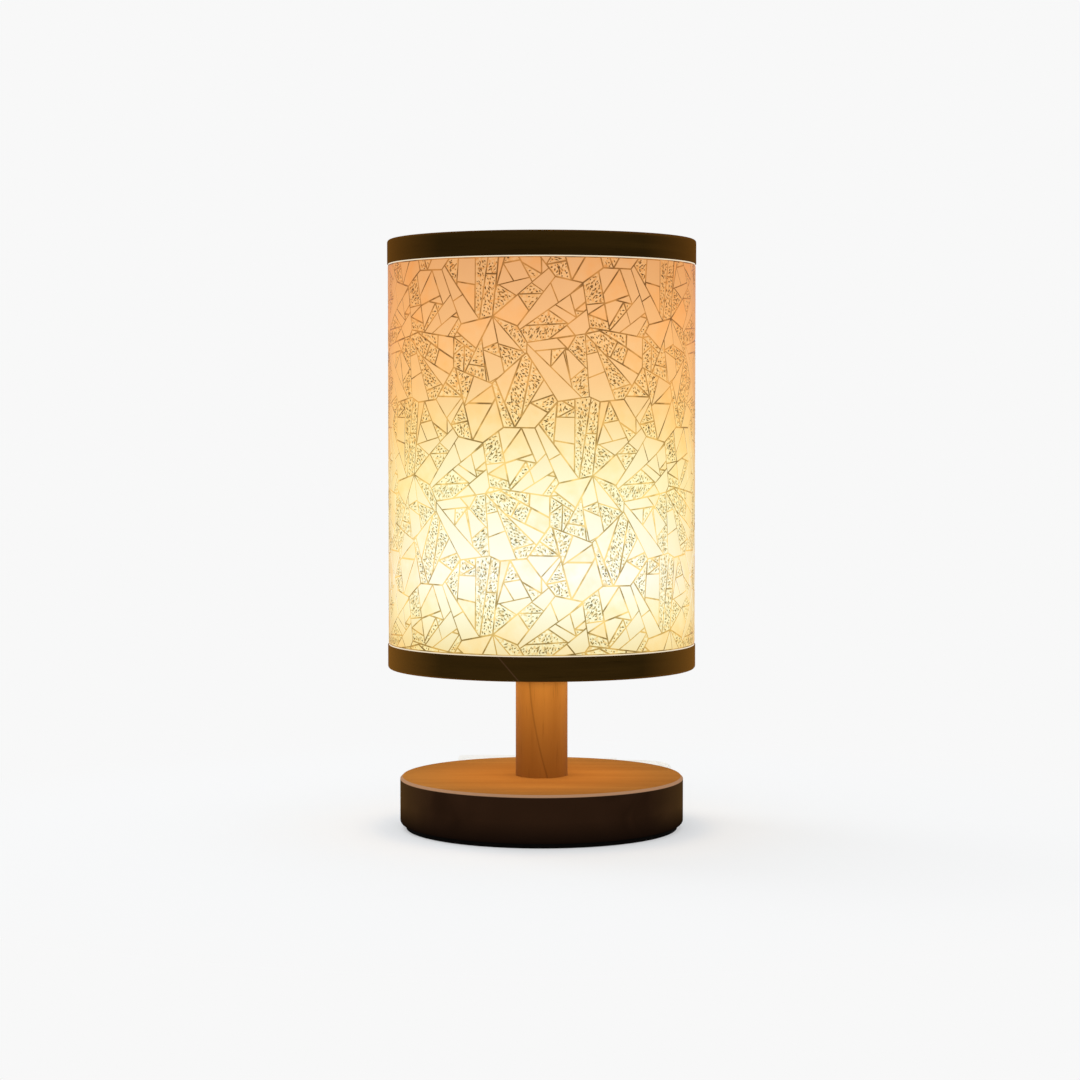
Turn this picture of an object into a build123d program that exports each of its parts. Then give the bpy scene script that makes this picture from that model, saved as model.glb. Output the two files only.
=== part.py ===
"""A small table lamp: a drum shade of mosaic sheet in two wooden hoops, on a round wooden post and base.

Millimetres, +Z up. The origin is the centre of the base's underside, the lamp's front faces -Y,
and the mains cord leaves at the back (+Y), where it lies coiled with its switch and plug.
"""
import os

from build123d import *

# Base and stem
BASE_DIAMETER = 120.0
BASE_THICKNESS = 20.0
BASE_CHAMFER = 1.0
BASE_FOOT_ROUND = 1.5
PAD_DIAMETER = 115.0
PAD_THICKNESS = 2.0
STEM_DIAMETER = 22.0
STEM_HEIGHT = 41.0
POCKET_DIAMETER = 46.0
POCKET_DEPTH = 12.0
CORD_HOLE_RADIUS = 3.5
CORD_HOLE_OVERLAP = 5.0

# Bush in the cord hole, and the clamp that holds the cord under the pocket's roof
GROMMET_RADIUS = 3.45
GROMMET_LENGTH = 10.0
GROMMET_FLANGE_RADIUS = 4.6
GROMMET_FLANGE_THICKNESS = 1.4
GROMMET_ROUND = 0.6
CLAMP_Y = 18.0
CLAMP_LENGTH = 16.0
CLAMP_WIDTH = 4.0
CLAMP_THICKNESS = 1.2
CLAMP_SCREW_X = 5.5
CLAMP_SCREW_RADIUS = 1.25
CLAMP_SCREW_DEPTH = 6.0
CLAMP_HEAD_RADIUS = 2.4
CLAMP_HEAD_HEIGHT = 1.3
CLAMP_HOLE_RADIUS = 1.35
PILOT_RADIUS = 1.3
PILOT_DEPTH = 6.5

# Shade
SHADE_DIAMETER = 130.0
SHADE_HEIGHT = 180.0
SHADE_BOTTOM = 68.0
HOOP_HEIGHT = 10.0
HOOP_WALL = 6.0
HOOP_TONGUE = 5.0
HOOP_ROUND = 1.2
FILM_THICKNESS = 0.6
FILM_SET_BACK = 0.25
FILM_EDGE_GAP = 0.3
GLUE_GAP = 0.05

# Hollow tube that clamps the base, the stem and the lamp holder together
TUBE_RADIUS = 5.0
TUBE_BORE_RADIUS = 3.5
TUBE_BOTTOM = 6.5
TUBE_TOP = 67.0
DRILLED_RADIUS = 5.3
NUT_HEIGHT = 4.0
NUT_ACROSS_FLATS = 14.0
WASHER_RADIUS = 9.5
WASHER_THICKNESS = 1.5

# Lamp holder for a small screw cap
HOLDER_CAP_RADIUS = 13.0
HOLDER_CAP_HEIGHT = 11.0
HOLDER_CAP_FLOOR = 2.5
HOLDER_CAP_ROUND = 1.0
HOLDER_WALL = 2.0
HOLDER_SHELL_RADIUS = 14.0
HOLDER_BORE_RADIUS = 10.4
HOLDER_FLANGE_RADIUS = 18.0
HOLDER_FLANGE_THICKNESS = 2.0
HOLDER_MOUTH_RADIUS = 8.6
HOLDER_SHELL_HEIGHT = 26.0
CORE_HEIGHT = 7.0
CORE_RISE = 3.0
CONTACT_WELL_RADIUS = 4.2
CONTACT_WELL_DEPTH = 1.2
CONTACT_WIDTH = 3.0
CONTACT_FOOT_X = -3.4
CONTACT_BEND_X = -1.6
CONTACT_CREST_X = 1.0
CONTACT_LIP_X = 3.0
CONTACT_LIP_DROP = 1.0
CONTACT_SLANT = 0.2
SCREW_SHELL_RADIUS = 7.0
SCREW_SHELL_SET_BACK = 3.0
SHEET_BRASS = 0.4
TERMINAL_OFFSET_Y = 5.0
TERMINAL_LENGTH = 5.8
TERMINAL_WIDTH = 4.2
TERMINAL_LOW = 0.6
TERMINAL_HIGH = 4.1
TERMINAL_CLEARANCE = 0.1
TERMINAL_LEAD_DEPTH = 3.2
TERMINAL_THREAD_RADIUS = 0.75
TERMINAL_THREAD_DEPTH = 3.4
TERMINAL_SCREW_RADIUS = 0.7
TERMINAL_SCREW_DEPTH = 3.0
TERMINAL_HEAD_RADIUS = 0.95
TERMINAL_HEAD_HALF = 0.5

# Steel fitter that carries the shade, and its ring nut
SPIDER_THICKNESS = 1.2
SPIDER_RING_RADIUS = 18.5
SPIDER_ARM_WIDTH = 7.0
SPIDER_TAB_HEIGHT = 8.0
SPIDER_ANGLES = (90.0, 210.0, 330.0)
SPIDER_BORE_FIT = 0.2
SPIDER_SCREW_RISE = 4.8
SPIDER_SCREW_RADIUS = 1.1
SPIDER_SCREW_BITE = 3.2
SPIDER_HEAD_RADIUS = 2.2
SPIDER_HEAD_HEIGHT = 1.2
SPIDER_HOLE_RADIUS = 1.3
HOOP_HOLE_RADIUS = 1.15
HOOP_HOLE_DEPTH = 3.5
RING_NUT_HEIGHT = 7.0
RING_NUT_RADIUS = 17.0
RING_NUT_NOTCHES = 12
NOTCH_RADIUS = 1.2
NOTCH_OUTSET = 0.4
NOTCH_FLOOR = 2.0

# Bulb
BULB_TIP_HEIGHT_ABOVE_FLANGE = 5.0
BULB_LENGTH = 74.0
GLOBE_RADIUS = 22.5
GLOBE_WALL = 1.0
CAP_RADIUS = 6.75
CAP_WALL = 0.3
CAP_LENGTH = 21.0
CAP_RISE = 4.0
TIP_RADIUS = 2.4
TIP_HEIGHT = 1.2
TIP_ROUND = 0.8
INSULATOR_TIP_RADIUS = 2.6
INSULATOR_INSET = 0.8
GLOBE_CUT_DROP = 15.5
HOUSING_WALL = 1.2
HOUSING_PLUG_LENGTH = 9.0
HOUSING_NECK_RISE = 0.2
HOUSING_NECK_RADIUS = 8.4
HOUSING_WAIST_RISE = 7.0
HOUSING_WAIST_RADIUS = 11.0
HOUSING_TOP_RADIUS = 15.8
LED_BOARD_RADIUS = 11.0
LED_BOARD_THICKNESS = 1.4
LED_COUNT = 8
LED_RING_INNER = 6.0
LED_LENGTH = 2.8
LED_WIDTH = 3.5
LED_HEIGHT = 0.8
DRIVER_WIDTH = 8.4
DRIVER_THICKNESS = 1.2
DRIVER_DROP = 12.0
DRIVER_TOP_GAP = 2.0

# Mains cord
CORD_RADIUS = 2.3
LEAD_RADIUS = 0.9
LEAD_OFFSET = 1.1
LEAD_BEND = 1.5
LEAD_DROP_Y = 10.7
LEAD_UNDER_TUBE = 2.1
LEAD_OVER_TUBE = 1.2
SHEATH_END_Y = 13.8
STRAIGHT_OUT = 2.5
TIE_THICKNESS = 0.6
TIE_WIDTH = 6.0
TIE_INNER_ROUND = 0.6
TIE_OUTER_ROUND = 1.2
BEHIND_BASE_RUN = 14.0
CORD_TURN_X = -38.0
CORD_TURN_RADIUS = 7.0
COIL_TURNS = 3
COIL_PITCH = 4.9
COIL_RADIUS = 15.2
COIL_HALF_LENGTH = 11.0
COIL_X = 33.0
COIL_Y = 125.0

# Inline rocker switch
SWITCH_LENGTH = 52.0
SWITCH_WIDTH = 20.0
SWITCH_HEIGHT = 12.5
SWITCH_CORNER = 8.0
SWITCH_ROOM_CORNER = 6.4
SWITCH_TOP_ROUND = 2.2
SWITCH_FLOOR_ROUND = 1.2
SWITCH_WALL = 1.6
SWITCH_X = 14.0
SWITCH_Y = 84.0
CORD_IN_SWITCH = 6.0
CORD_BY_SWITCH = 5.0
SWITCH_SCREWS = ((-15.0, 6.0), (15.0, -6.0))
BOSS_RADIUS = 2.6
SCREW_HEAD_WELL_RADIUS = 2.0
SCREW_HEAD_WELL_DEPTH = 1.4
SCREW_HEAD_RADIUS = 1.8
SCREW_HEAD_SUNK = 0.2
SCREW_RADIUS = 1.0
SCREW_TOP = 9.5
SCREW_CLEARANCE_RADIUS = 1.25
SCREW_THREAD_RADIUS = 1.05
ROCKER_OPENING_LENGTH = 15.9
ROCKER_OPENING_WIDTH = 8.8
ROCKER_LENGTH = 14.0
ROCKER_WIDTH = 8.2
ROCKER_TILT = 9.0
ROCKER_END_TOP = 4.3
ROCKER_DISH = 3.0
ROCKER_END_BOTTOM = 0.8
KEEL_SHOULDER = (3.0, -2.0)
KEEL_TIP = (0.8, -3.0)
CONTACT_FOOT_LENGTH = 2.1
CONTACT_FOOT_BOTTOM = -3.4
PIVOT_HEIGHT = 9.3
PIVOT_RADIUS = 1.0
PIVOT_LENGTH = 13.0
PIVOT_END_PLAY = 0.1
EAR_HALF_LENGTH = 2.4
EAR_INNER_Y = 4.6
EAR_OUTER_Y = 6.7
EAR_DROP = 2.2
BRIDGE_X = -6.0
BRIDGE_HALF_LENGTH = 0.9
BRIDGE_HALF_WIDTH = 4.0
BRIDGE_THICKNESS = 0.5
RIVET_Y = 2.6
RIVET_RADIUS = 0.8
RIVET_BELOW_BRIDGE = 0.3
RIVET_IN_BRIDGE = 0.3
POST_X = (-7.0, -3.6)
POST_Y = (1.4, 4.2)
POST_TOP = 4.0
POST_HOLE_X = -5.4
POST_HOLE_Y = 2.7
LEAD_LOW = 2.7
SPRING_TOP = 5.9
SPRING_THICKNESS = 0.3
SPRING_CREST = 1.2
SPRING_FOOT_X = 7.8
SPRING_END_X = 9.5
SPRING_SLANT = 0.2
SPRING_WIDTH = 2.0
SWITCH_LEAD_BEND = 1.2
LIVE_IN_DIVE = (16.5, 13.0)  # where a lead starts and ends its way down to the floor of the case
LIVE_OUT_DIVE = (18.2, 14.5)
LIVE_OUT_TURN_X = 10.0
NEUTRAL_DIVE = (13.0, 8.5)
NEUTRAL_SIDE_Y = 6.6
LEAD_END_GAP = 0.2

# Flat two-pin plug
PLUG_LENGTH = 36.0
PLUG_WIDTH = 35.0
PLUG_THICKNESS = 14.0
PLUG_REAR_X = -3.0
PLUG_NECK = 13.0
PLUG_SHOULDER_LENGTH = 9.0
PLUG_SHOULDER_INSET = 1.5
PLUG_NOSE_LENGTH = 12.0
PLUG_NOSE_INSET = 2.0
PLUG_CORNER = 3.0
PLUG_BEVEL = 2.0
BUSH_RADIUS = 4.0
BUSH_LENGTH = 7.0
BUSH_ROOT = 2.0
BUSH_GROOVES = 3
GROOVE_START = 1.5
GROOVE_PITCH = 2.0
GROOVE_WIDTH = 0.8
GROOVE_RADIUS = 3.3
CORD_IN_PLUG = 6.0
CORD_BY_PLUG = 9.0
PIN_SPACING = 19.0
PIN_RADIUS = 2.0
PIN_LENGTH = 19.0
PIN_TIP_LENGTH = 9.0
PIN_TIP_ROUND = 1.2
PIN_CORE_RADIUS = 1.5
SLEEVE_RADIUS = 1.8
PIN_GRIP = 6.0

RUNNING_FIT = 0.05
OUTSIDE = 5.0  # how far a cutting tool runs past the face it opens

BASE_BOTTOM = PAD_THICKNESS
BASE_TOP = BASE_BOTTOM + BASE_THICKNESS
STEM_TOP = BASE_TOP + STEM_HEIGHT
POCKET_ROOF = BASE_BOTTOM + POCKET_DEPTH
BASE_RADIUS = BASE_DIAMETER / 2
SHADE_RADIUS = SHADE_DIAMETER / 2
SHADE_TOP = SHADE_BOTTOM + SHADE_HEIGHT
HOOP_INNER_RADIUS = SHADE_RADIUS - HOOP_WALL
FILM_OUTER_RADIUS = SHADE_RADIUS - FILM_SET_BACK
FILM_INNER_RADIUS = FILM_OUTER_RADIUS - FILM_THICKNESS
FLANGE_BOTTOM = STEM_TOP + HOLDER_CAP_HEIGHT
FLANGE_TOP = FLANGE_BOTTOM + HOLDER_FLANGE_THICKNESS
HOLDER_TOP = FLANGE_BOTTOM + HOLDER_SHELL_HEIGHT
CORE_TOP = FLANGE_BOTTOM + CORE_RISE
CORE_BOTTOM = CORE_TOP - CORE_HEIGHT
SPIDER_TOP = FLANGE_TOP + SPIDER_THICKNESS
SPIDER_REACH = (HOOP_INNER_RADIUS**2 - (SPIDER_ARM_WIDTH / 2) ** 2) ** 0.5 - RUNNING_FIT
SPIDER_SCREW_HEIGHT = FLANGE_TOP + SPIDER_SCREW_RISE
BULB_BOTTOM = FLANGE_BOTTOM + BULB_TIP_HEIGHT_ABOVE_FLANGE
BULB_CAP_BOTTOM = BULB_BOTTOM + CAP_RISE
BULB_CAP_TOP = BULB_BOTTOM + CAP_LENGTH
GLOBE_CENTRE = BULB_BOTTOM + BULB_LENGTH - GLOBE_RADIUS
GLOBE_CUT = GLOBE_CENTRE - GLOBE_CUT_DROP
CORD_EXIT_HEIGHT = POCKET_ROOF - CORD_RADIUS - RUNNING_FIT
CLAMP_TOP = CORD_EXIT_HEIGHT - CORD_RADIUS
COIL_LOW = CORD_RADIUS + TIE_THICKNESS + RUNNING_FIT
COIL_HIGH = COIL_LOW + 2 * CORD_RADIUS + RUNNING_FIT
SPLIT_HEIGHT = SWITCH_HEIGHT / 2
PLUG_CORD_HEIGHT = PLUG_THICKNESS / 2
COIL_FRONT_Y = COIL_Y - COIL_RADIUS
PLUG_FACE_X = PLUG_REAR_X - PLUG_LENGTH
PIN_TIP_X = PLUG_FACE_X - PIN_LENGTH
PIN_STEP_X = PIN_TIP_X + PIN_TIP_LENGTH


def disc(radius, bottom, top, hole=0.0):
    """A round plate or, with a hole, a ring, centred on the Z axis."""
    place = Pos(0, 0, bottom)
    up = (Align.CENTER, Align.CENTER, Align.MIN)
    body = place * Cylinder(radius, top - bottom, align=up)
    if hole:
        body -= place * Cylinder(hole, top - bottom, align=up)
    return body


def block(x_low, x_high, y_low, y_high, z_low, z_high):
    """A square-cornered block between six planes."""
    centre = Pos((x_low + x_high) / 2, (y_low + y_high) / 2, (z_low + z_high) / 2)
    return centre * Box(x_high - x_low, y_high - y_low, z_high - z_low)


def turned(outline):
    """The solid of revolution of a closed outline of (radius, height) points."""
    face = make_face(Plane.XZ * Polyline(*outline, close=True))
    return revolve(face, Axis.Z)


def rod(radius, start, end):
    """A straight round bar from one point to another."""
    along = Vector(*end) - Vector(*start)
    return extrude(Plane(origin=start, z_dir=along) * Circle(radius), along.length)


def swept(path, radius):
    """A round cord along a smooth path."""
    start = Plane(origin=path @ 0, z_dir=path % 0)
    return sweep(start * Circle(radius), path=path)


def around(piece, angles):
    """Copies of a piece, turned about the Z axis."""
    return [Rot(0, 0, angle) * piece for angle in angles]


def group(pieces):
    """Separate solids that share one node."""
    return Compound(children=[Compound(piece.solids()) for piece in pieces])


# ---------------------------------------------------------------- base and stem

def make_foot_pad():
    return disc(PAD_DIAMETER / 2, 0, PAD_THICKNESS)


def make_base_disc():
    """Wooden disc with a pocket underneath, a central bore and a cord hole to the back."""
    base = disc(BASE_RADIUS, BASE_BOTTOM, BASE_TOP)
    rims = base.edges().filter_by(GeomType.CIRCLE).sort_by(Axis.Z)
    base = chamfer(rims[-1], BASE_CHAMFER)
    rims = base.edges().filter_by(GeomType.CIRCLE).sort_by(Axis.Z)
    base = fillet(rims[0], BASE_FOOT_ROUND)
    base -= disc(POCKET_DIAMETER / 2, BASE_BOTTOM - OUTSIDE, POCKET_ROOF)
    base -= disc(DRILLED_RADIUS, 0, BASE_TOP + OUTSIDE)
    cord_hole_start = (0, POCKET_DIAMETER / 2 - CORD_HOLE_OVERLAP, CORD_EXIT_HEIGHT)
    base -= rod(CORD_HOLE_RADIUS, cord_hole_start, (0, BASE_RADIUS + OUTSIDE, CORD_EXIT_HEIGHT))
    for x in clamp_screw_places():
        pilot_start = (x, CLAMP_Y, POCKET_ROOF - OUTSIDE)
        base -= rod(PILOT_RADIUS, pilot_start, (x, CLAMP_Y, POCKET_ROOF + PILOT_DEPTH))
    return base


def make_stem():
    return disc(STEM_DIAMETER / 2, BASE_TOP, STEM_TOP, hole=DRILLED_RADIUS)


def make_threaded_tube():
    return disc(TUBE_RADIUS, TUBE_BOTTOM, TUBE_TOP, hole=TUBE_BORE_RADIUS)


def make_tube_washer():
    bottom = POCKET_ROOF - WASHER_THICKNESS
    return disc(WASHER_RADIUS, bottom, POCKET_ROOF, hole=DRILLED_RADIUS)


def make_tube_nut():
    """Hexagon nut under the washer."""
    bottom = POCKET_ROOF - WASHER_THICKNESS - NUT_HEIGHT
    outline = RegularPolygon(NUT_ACROSS_FLATS / 2, 6, major_radius=False)
    nut = extrude(Pos(0, 0, bottom) * outline, NUT_HEIGHT)
    return nut - disc(TUBE_RADIUS + RUNNING_FIT, bottom, bottom + NUT_HEIGHT)


def make_cord_grommet():
    """Flanged bush that lines the mouth of the cord hole."""
    inner_end = (0, BASE_RADIUS - GROMMET_LENGTH, CORD_EXIT_HEIGHT)
    mouth = (0, BASE_RADIUS, CORD_EXIT_HEIGHT)
    outer_end = (0, BASE_RADIUS + GROMMET_FLANGE_THICKNESS, CORD_EXIT_HEIGHT)
    flange = rod(GROMMET_FLANGE_RADIUS, mouth, outer_end)
    outer_rim = flange.edges().filter_by(GeomType.CIRCLE).sort_by(Axis.Y)[-1]
    bush = rod(GROMMET_RADIUS, inner_end, mouth) + fillet(outer_rim, GROMMET_ROUND)
    return bush - rod(CORD_RADIUS + RUNNING_FIT, inner_end, outer_end)


def clamp_screw_places():
    return (-CLAMP_SCREW_X, CLAMP_SCREW_X)


def make_cord_clamp():
    """Bar that presses the cord up against the pocket's roof."""
    half_length, half_width = CLAMP_LENGTH / 2, CLAMP_WIDTH / 2
    bottom = CLAMP_TOP - CLAMP_THICKNESS
    bar = block(-half_length, half_length, CLAMP_Y - half_width, CLAMP_Y + half_width, bottom, CLAMP_TOP)
    for x in clamp_screw_places():
        bar -= rod(CLAMP_HOLE_RADIUS, (x, CLAMP_Y, bottom - OUTSIDE), (x, CLAMP_Y, CLAMP_TOP + OUTSIDE))
    return bar


def make_clamp_screws():
    """Two round-headed wood screws that hold the cord clamp."""
    head_top = CLAMP_TOP - CLAMP_THICKNESS
    screw = disc(CLAMP_SCREW_RADIUS, head_top, POCKET_ROOF + CLAMP_SCREW_DEPTH)
    screw += disc(CLAMP_HEAD_RADIUS, head_top - CLAMP_HEAD_HEIGHT, head_top)
    return group([Pos(x, CLAMP_Y, 0) * screw for x in clamp_screw_places()])


# ---------------------------------------------------------------- lamp holder

def make_holder_cap():
    """Lower cup of the lamp holder, screwed on the tube and standing on the stem."""
    cup = disc(HOLDER_CAP_RADIUS, STEM_TOP, FLANGE_BOTTOM)
    bottom_rim = cup.edges().filter_by(GeomType.CIRCLE).sort_by(Axis.Z)[0]
    cup = fillet(bottom_rim, HOLDER_CAP_ROUND)
    floor_top = STEM_TOP + HOLDER_CAP_FLOOR
    cup -= disc(HOLDER_CAP_RADIUS - HOLDER_WALL, floor_top, FLANGE_BOTTOM)
    return cup - disc(TUBE_RADIUS + RUNNING_FIT, STEM_TOP, floor_top)


def make_holder_shell():
    """Outer sleeve with the flange that the shade fitter rests on."""
    shell = disc(HOLDER_SHELL_RADIUS, FLANGE_BOTTOM, HOLDER_TOP)
    shell += disc(HOLDER_FLANGE_RADIUS, FLANGE_BOTTOM, FLANGE_TOP)
    shell -= disc(HOLDER_BORE_RADIUS, FLANGE_BOTTOM, HOLDER_TOP - HOLDER_WALL)
    return shell - disc(HOLDER_MOUTH_RADIUS, HOLDER_TOP - HOLDER_WALL, HOLDER_TOP)


def make_holder_core():
    """Insulating core with two terminal slots and a well for the centre contact."""
    core = disc(HOLDER_BORE_RADIUS - RUNNING_FIT, CORE_BOTTOM, CORE_TOP)
    half_length = TERMINAL_LENGTH / 2 + TERMINAL_CLEARANCE
    half_width = TERMINAL_WIDTH / 2 + TERMINAL_CLEARANCE
    slot_top = CORE_BOTTOM + TERMINAL_HIGH + TERMINAL_CLEARANCE
    for x, y in terminal_places():
        core -= block(-half_length, half_length, y - half_width, y + half_width, CORE_BOTTOM, slot_top)
    return core - disc(CONTACT_WELL_RADIUS, CORE_TOP - CONTACT_WELL_DEPTH, CORE_TOP)


def make_screw_shell():
    """Thin brass cup that receives the bulb's screw cap."""
    floor_top = CORE_TOP + SHEET_BRASS
    cup = disc(SCREW_SHELL_RADIUS + SHEET_BRASS, CORE_TOP, BULB_CAP_TOP - SCREW_SHELL_SET_BACK)
    cup -= disc(SCREW_SHELL_RADIUS, floor_top, BULB_CAP_TOP)
    return cup - disc(CONTACT_WELL_RADIUS, CORE_TOP, floor_top)


def make_centre_contact():
    """Bent brass tongue that presses on the bulb's tip."""
    foot = CORE_TOP - CONTACT_WELL_DEPTH
    crest = BULB_BOTTOM - RUNNING_FIT
    outline = Polyline(
        (CONTACT_FOOT_X, foot),
        (CONTACT_BEND_X, foot),
        (CONTACT_CREST_X, crest - SHEET_BRASS),
        (CONTACT_LIP_X, crest - CONTACT_LIP_DROP),
        (CONTACT_LIP_X, crest - CONTACT_LIP_DROP + SHEET_BRASS),
        (CONTACT_CREST_X - CONTACT_SLANT, crest),
        (CONTACT_BEND_X - CONTACT_SLANT, foot + SHEET_BRASS),
        (CONTACT_FOOT_X, foot + SHEET_BRASS),
        close=True,
    )
    return extrude(make_face(Plane.XZ * outline), amount=CONTACT_WIDTH / 2, both=True)


def terminal_places():
    """Each terminal's place: the x its lead comes up at and the y of its block."""
    return [(side * LEAD_OFFSET, side * TERMINAL_OFFSET_Y) for side in (-1, 1)]


def make_holder_terminals():
    """Brass blocks, each with a blind hole for its lead and a threaded one for its screw."""
    half_length, half_width = TERMINAL_LENGTH / 2, TERMINAL_WIDTH / 2
    low, high = CORE_BOTTOM + TERMINAL_LOW, CORE_BOTTOM + TERMINAL_HIGH
    blocks = []
    for x, y in terminal_places():
        terminal = block(-half_length, half_length, y - half_width, y + half_width, low, high)
        lead_hole_end = (x, y, CORE_BOTTOM + TERMINAL_LEAD_DEPTH)
        terminal -= rod(LEAD_RADIUS + RUNNING_FIT, (x, y, CORE_BOTTOM), lead_hole_end)
        thread_end = (-x, y, CORE_BOTTOM + TERMINAL_THREAD_DEPTH)
        terminal -= rod(TERMINAL_THREAD_RADIUS, (-x, y, CORE_BOTTOM), thread_end)
        blocks.append(terminal)
    return group(blocks)


def make_terminal_screws():
    head_top = CORE_BOTTOM + TERMINAL_HEAD_HALF
    screw = disc(TERMINAL_SCREW_RADIUS, head_top, CORE_BOTTOM + TERMINAL_SCREW_DEPTH)
    screw += disc(TERMINAL_HEAD_RADIUS, CORE_BOTTOM - TERMINAL_HEAD_HALF, head_top)
    return group([Pos(-x, y, 0) * screw for x, y in terminal_places()])


def make_lamp_leads():
    """The cord's two cores, from the clamp up through the tube to the terminals."""
    leads = []
    turn_in = TUBE_BOTTOM - LEAD_UNDER_TUBE
    turn_out = TUBE_TOP + LEAD_OVER_TUBE
    for x, y in terminal_places():
        points = [
            (x, SHEATH_END_Y - RUNNING_FIT, CORD_EXIT_HEIGHT),
            (x, LEAD_DROP_Y, CORD_EXIT_HEIGHT),
            (x, LEAD_DROP_Y, turn_in),
            (x, 0, turn_in),
            (x, 0, turn_out),
            (x, y, turn_out),
            (x, y, CORE_BOTTOM + TERMINAL_SCREW_DEPTH),
        ]
        leads.append(swept(FilletPolyline(*points, radius=LEAD_BEND), LEAD_RADIUS))
    return group(leads)


# ---------------------------------------------------------------- shade

def make_shade_spider():
    """Centre ring with three arms, each turned up in a tab behind the lower hoop."""
    spider = disc(SPIDER_RING_RADIUS, FLANGE_TOP, SPIDER_TOP)
    reach, half = SPIDER_REACH, SPIDER_ARM_WIDTH / 2
    for tab_screw, angle in zip(spider_screw_axes(), SPIDER_ANGLES):
        arm = block(HOLDER_SHELL_RADIUS + HOLDER_WALL, reach, -half, half, FLANGE_TOP, SPIDER_TOP)
        tab = block(reach - SPIDER_THICKNESS, reach, -half, half, FLANGE_TOP, FLANGE_TOP + SPIDER_TAB_HEIGHT)
        spider += Rot(0, 0, angle) * (arm + tab)
        spider -= rod(SPIDER_HOLE_RADIUS, *tab_screw)
    return spider - disc(HOLDER_SHELL_RADIUS + SPIDER_BORE_FIT, FLANGE_TOP, SPIDER_TOP)


def spider_screw_axes():
    """Start and end points of the three radial screws' axes."""
    inner = Vector(SPIDER_REACH - OUTSIDE, 0, SPIDER_SCREW_HEIGHT)
    outer = Vector(HOOP_INNER_RADIUS + HOOP_HOLE_DEPTH, 0, SPIDER_SCREW_HEIGHT)
    return [(inner.rotate(Axis.Z, angle), outer.rotate(Axis.Z, angle)) for angle in SPIDER_ANGLES]


def make_spider_screws():
    """Three short pan-head screws that hold the fitter to the lower hoop."""
    height = SPIDER_SCREW_HEIGHT
    head_end = SPIDER_REACH - SPIDER_THICKNESS - RUNNING_FIT
    point = HOOP_INNER_RADIUS + SPIDER_SCREW_BITE
    shank = rod(SPIDER_SCREW_RADIUS, (head_end, 0, height), (point, 0, height))
    head = rod(SPIDER_HEAD_RADIUS, (head_end - SPIDER_HEAD_HEIGHT, 0, height), (head_end, 0, height))
    return group(around(shank + head, SPIDER_ANGLES))


def make_shade_ring_nut():
    """Ring nut that clamps the fitter against the holder's flange."""
    top = SPIDER_TOP + RING_NUT_HEIGHT
    nut = disc(RING_NUT_RADIUS, SPIDER_TOP, top)
    notch_x = RING_NUT_RADIUS + NOTCH_OUTSET
    grip = rod(NOTCH_RADIUS, (notch_x, 0, SPIDER_TOP + NOTCH_FLOOR), (notch_x, 0, top + OUTSIDE))
    for notch in around(grip, [360 / RING_NUT_NOTCHES * step for step in range(RING_NUT_NOTCHES)]):
        nut -= notch
    return nut - disc(HOLDER_SHELL_RADIUS + RUNNING_FIT, SPIDER_TOP, top)


def make_hoop(outer_edge, towards_film):
    """Wooden hoop from its free edge, with a tongue that the sheet is glued round."""
    shoulder = outer_edge + towards_film * HOOP_HEIGHT
    tongue_end = shoulder + towards_film * HOOP_TONGUE
    low, high = sorted((outer_edge, shoulder))
    ring = disc(SHADE_RADIUS, low, high)
    rims = ring.edges().filter_by(GeomType.CIRCLE).sort_by(Axis.Z)
    ring = fillet(rims[0] if towards_film > 0 else rims[-1], HOOP_ROUND)
    low, high = sorted((outer_edge, tongue_end))
    tongue = disc(FILM_INNER_RADIUS - GLUE_GAP, *sorted((shoulder, tongue_end)))
    return ring + tongue - disc(HOOP_INNER_RADIUS, low, high)


def make_lower_hoop():
    hoop = make_hoop(SHADE_BOTTOM, 1)
    for start, end in spider_screw_axes():
        hoop -= rod(HOOP_HOLE_RADIUS, start, end)
    return hoop


def make_upper_hoop():
    return make_hoop(SHADE_TOP, -1)


def make_shade_film():
    """The translucent sheet, rolled into a drum between the two hoops' shoulders."""
    bottom = SHADE_BOTTOM + HOOP_HEIGHT + FILM_EDGE_GAP
    top = SHADE_TOP - HOOP_HEIGHT - FILM_EDGE_GAP
    return disc(FILM_OUTER_RADIUS, bottom, top, hole=FILM_INNER_RADIUS)


# ---------------------------------------------------------------- bulb

def make_bulb_tip_contact():
    tip = disc(TIP_RADIUS, BULB_BOTTOM, BULB_BOTTOM + TIP_HEIGHT)
    return fillet(tip.edges().filter_by(GeomType.CIRCLE).sort_by(Axis.Z)[0], TIP_ROUND)


def make_bulb_insulator():
    """Cone between the tip contact and the screw cap."""
    low = BULB_BOTTOM + TIP_HEIGHT
    wide_end = (CAP_RADIUS - INSULATOR_INSET, BULB_CAP_BOTTOM)
    return turned([(0, low), (INSULATOR_TIP_RADIUS, low), wide_end, (0, BULB_CAP_BOTTOM)])


def make_bulb_cap():
    """Nickelled screw cap with a closed bottom."""
    cap = disc(CAP_RADIUS, BULB_CAP_BOTTOM, BULB_CAP_TOP)
    return cap - disc(CAP_RADIUS - CAP_WALL, BULB_CAP_BOTTOM + CAP_WALL, BULB_CAP_TOP)


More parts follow.
